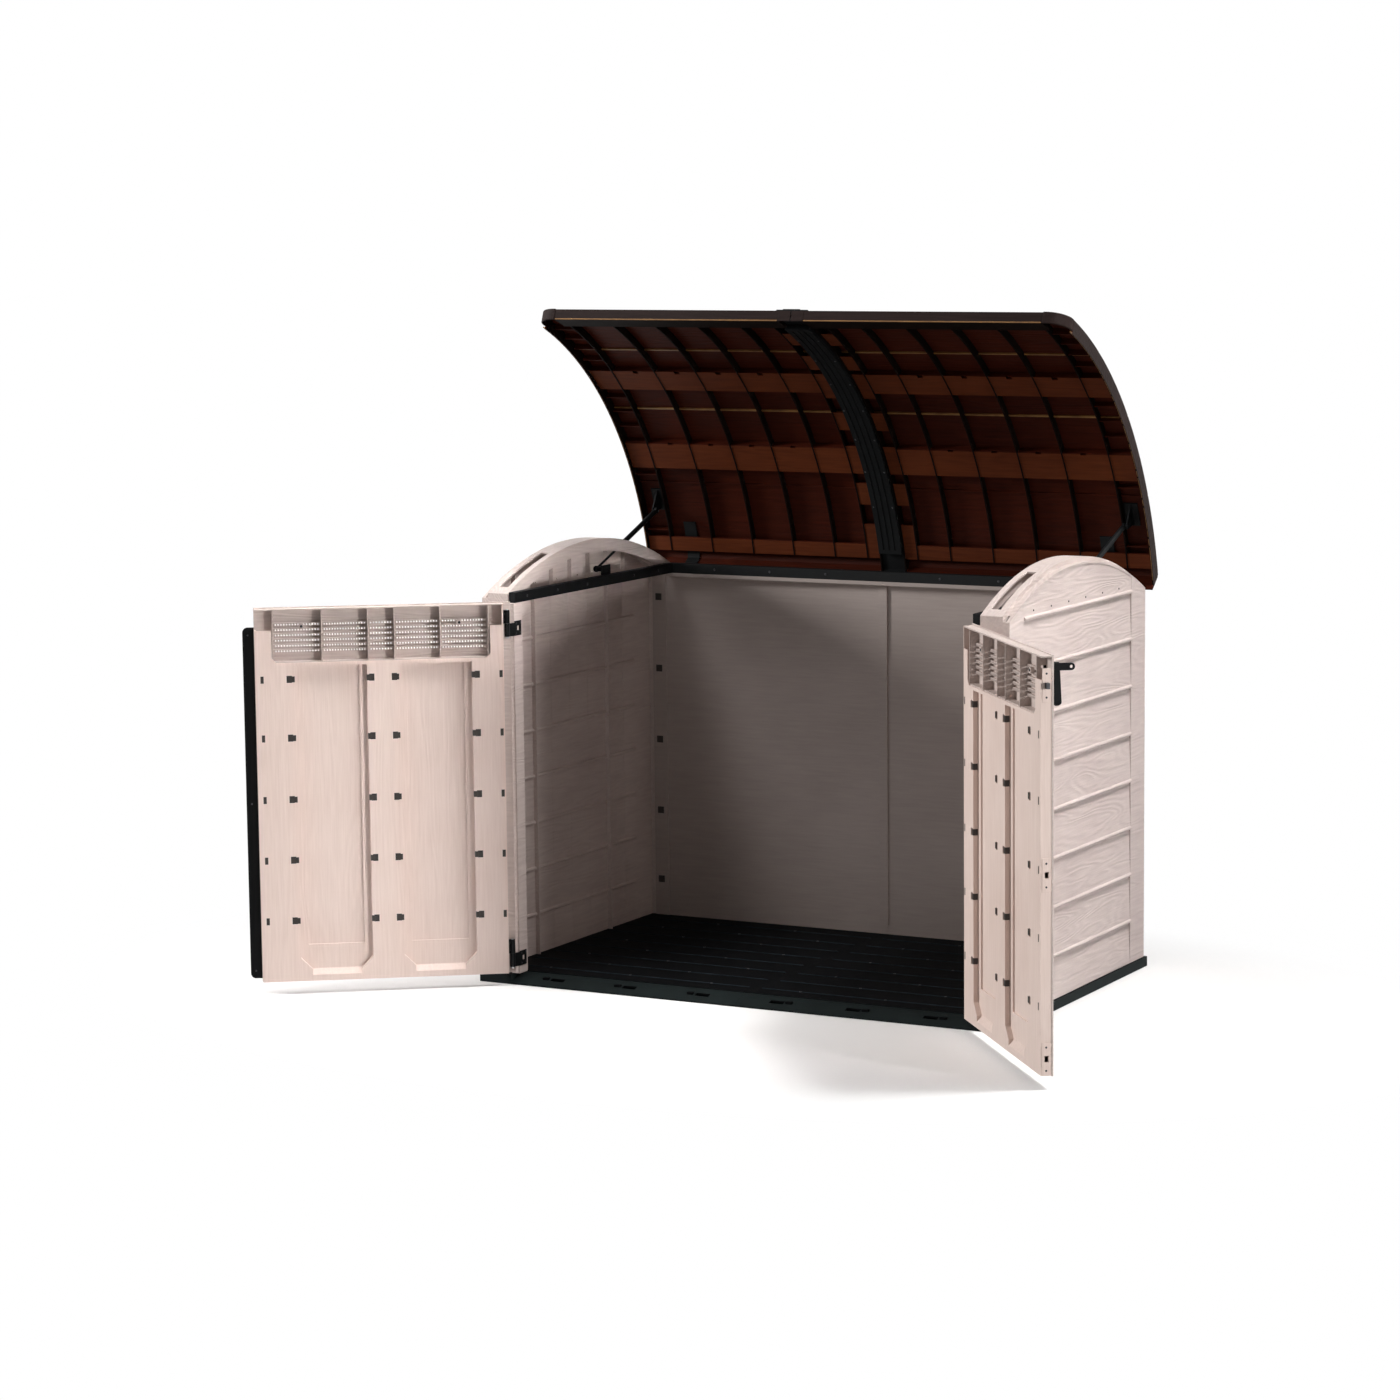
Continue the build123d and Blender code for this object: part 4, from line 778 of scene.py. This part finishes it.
# Camera: place, axes and lens solved from the photograph
cameraView = {
    "place": (5.2417, -10.5239, 2.4110), "right": (0.88217, 0.47082, -0.01055),
    "up": (-0.05258, 0.12073, 0.99129), "ahead": (-0.46799, 0.87393, -0.13126),
    "lens": 99.63, "sensor": 36.0, "clipEnd": 200.0,
}
lensData = bpy.data.cameras.new("photoCamera")
lensData.sensor_fit = "HORIZONTAL"
lensData.sensor_width = cameraView["sensor"]
lensData.lens = cameraView["lens"]
lensData.clip_end = cameraView["clipEnd"]
photoCamera = bpy.data.objects.new("photoCamera", lensData)
bpy.context.scene.collection.objects.link(photoCamera)
columns = [Vector(cameraView["right"]), Vector(cameraView["up"]), -Vector(cameraView["ahead"])]
photoCamera.matrix_world = Matrix.Translation(cameraView["place"]) @ Matrix(columns).transposed().to_4x4()
bpy.context.scene.camera = photoCamera
bpy.context.scene.view_settings.view_transform = "Standard"

# Studio: lamps high at the right, far out at the right, at the left, and steep above the left door
studio = {
    "floorTone": "#f6f5f4", "bounceTone": "#9a9a9a", "floorHalf": 60.0, "floorZ": -0.5 * mm,
    "paper": {"roughness": 0.9, "specular": 0.1}, "ambient": 0.12,
    # the paper fades to white outside this oval, metres
    "fadeCentre": (0, -0.3), "fadeReach": (1.55, 1.05), "fadeStart": 1.0, "fadeEnd": 1.45,
    # name, place and aim in metres, size in metres, spread in degrees, power in watts
    "lamps": [
        ("topLamp", (3.2, 0.4, 5.6), (0.3, -0.3, 0.6), 1.1, 180, 340),
        ("rightLamp", (14.7, -4.4, 2.2), (-1.1, -0.8, 0.6), 1.8, 17.5, 18),
        ("leftLamp", (-6.0, -2.8, 3.4), (0.6, -0.7, 0.8), 1.6, 180, 430),
        ("doorLamp", (-2.2, -2.6, 5.5), (-1.1, -0.8, 0.6), 1.5, 40, 10),
    ],
}


def seenDirectly(tree):
    # one for what the camera sees, also in gloss and through glass, zero for bounced light
    rays = addNode(tree, "ShaderNodeLightPath").outputs
    seen = rays["Is Camera Ray"]
    for other in ("Is Glossy Ray", "Is Transmission Ray"):
        seen = addNode(tree, "ShaderNodeMath", {"operation": "MAXIMUM"}, {},
                       {0: seen, 1: rays[other]}).outputs[0]
    return seen


# Paper floor: matt, darker to bounced light, fading into the white around it
floorMesh = bpy.data.meshes.new("studioFloor")
floorHalf = studio["floorHalf"]
floorMesh.from_pydata([(-floorHalf, -floorHalf, 0), (floorHalf, -floorHalf, 0), (floorHalf, floorHalf, 0),
                       (-floorHalf, floorHalf, 0)], [], [(0, 1, 2, 3)])
studioFloor = bpy.data.objects.new("studioFloor", floorMesh)
studioFloor.location.z = studio["floorZ"]
bpy.context.scene.collection.objects.link(studioFloor)
paper, paperTree, paperShader, place = startMaterial("paperFloor", studio["paper"])
fadeScale = [1 / r for r in studio["fadeReach"]]
fadeMove = [-c * k for c, k in zip(studio["fadeCentre"], fadeScale)]
oval = addNode(paperTree, "ShaderNodeMapping", {}, {"Location": (*fadeMove, 0), "Scale": (*fadeScale, 1)},
               {"Vector": place}).outputs[0]
away = addNode(paperTree, "ShaderNodeVectorMath", {"operation": "LENGTH"}, {}, {0: oval}).outputs["Value"]
fade = addNode(paperTree, "ShaderNodeMapRange", {"interpolation_type": "SMOOTHSTEP"},
               {"From Min": studio["fadeStart"], "From Max": studio["fadeEnd"]}, {"Value": away}).outputs[0]
seen = seenDirectly(paperTree)
tone = addNode(paperTree, "ShaderNodeMix", {"data_type": "RGBA"},
               {6: hexColour(studio["bounceTone"]), 7: hexColour(studio["floorTone"])}, {0: seen}).outputs[2]
paperTree.links.new(tone, paperShader.inputs["Base Color"])
share = addNode(paperTree, "ShaderNodeMath", {"operation": "MULTIPLY"}, {}, {0: seen, 1: fade}).outputs[0]
glow = addNode(paperTree, "ShaderNodeEmission", {}, {"Color": (1, 1, 1, 1), "Strength": 1.0}).outputs[0]
paperMix = addNode(paperTree, "ShaderNodeMixShader", {}, {},
                   {0: share, 1: paperShader.outputs[0], 2: glow}).outputs[0]
paperTree.links.new(paperMix, paperTree.nodes["Material Output"].inputs["Surface"])
floorMesh.materials.append(paper)

for name, place, aim, size, spread, power in studio["lamps"]:
    lampData = bpy.data.lights.new(name, "AREA")
    lampData.shape = "SQUARE"
    lampData.size = size
    lampData.spread = math.radians(spread)
    lampData.energy = power
    lamp = bpy.data.objects.new(name, lampData)
    lamp.location = place
    lamp.rotation_euler = (Vector(aim) - Vector(place)).to_track_quat("-Z", "Y").to_euler()
    bpy.context.scene.collection.objects.link(lamp)

sky = bpy.data.worlds.new("studioWorld")
bpy.context.scene.world = sky
sky.use_nodes = True
skyTree = sky.node_tree
skyTree.nodes.clear()
ambient = addNode(skyTree, "ShaderNodeBackground", {}, {"Color": (1, 1, 1, 1), "Strength": studio["ambient"]})
white = addNode(skyTree, "ShaderNodeBackground", {}, {"Color": (1, 1, 1, 1), "Strength": 1.0})
skyMix = addNode(skyTree, "ShaderNodeMixShader", {}, {},
                 {0: seenDirectly(skyTree), 1: ambient.outputs[0], 2: white.outputs[0]})
addNode(skyTree, "ShaderNodeOutputWorld", {}, {}, {"Surface": skyMix.outputs[0]})
print("studio ready")
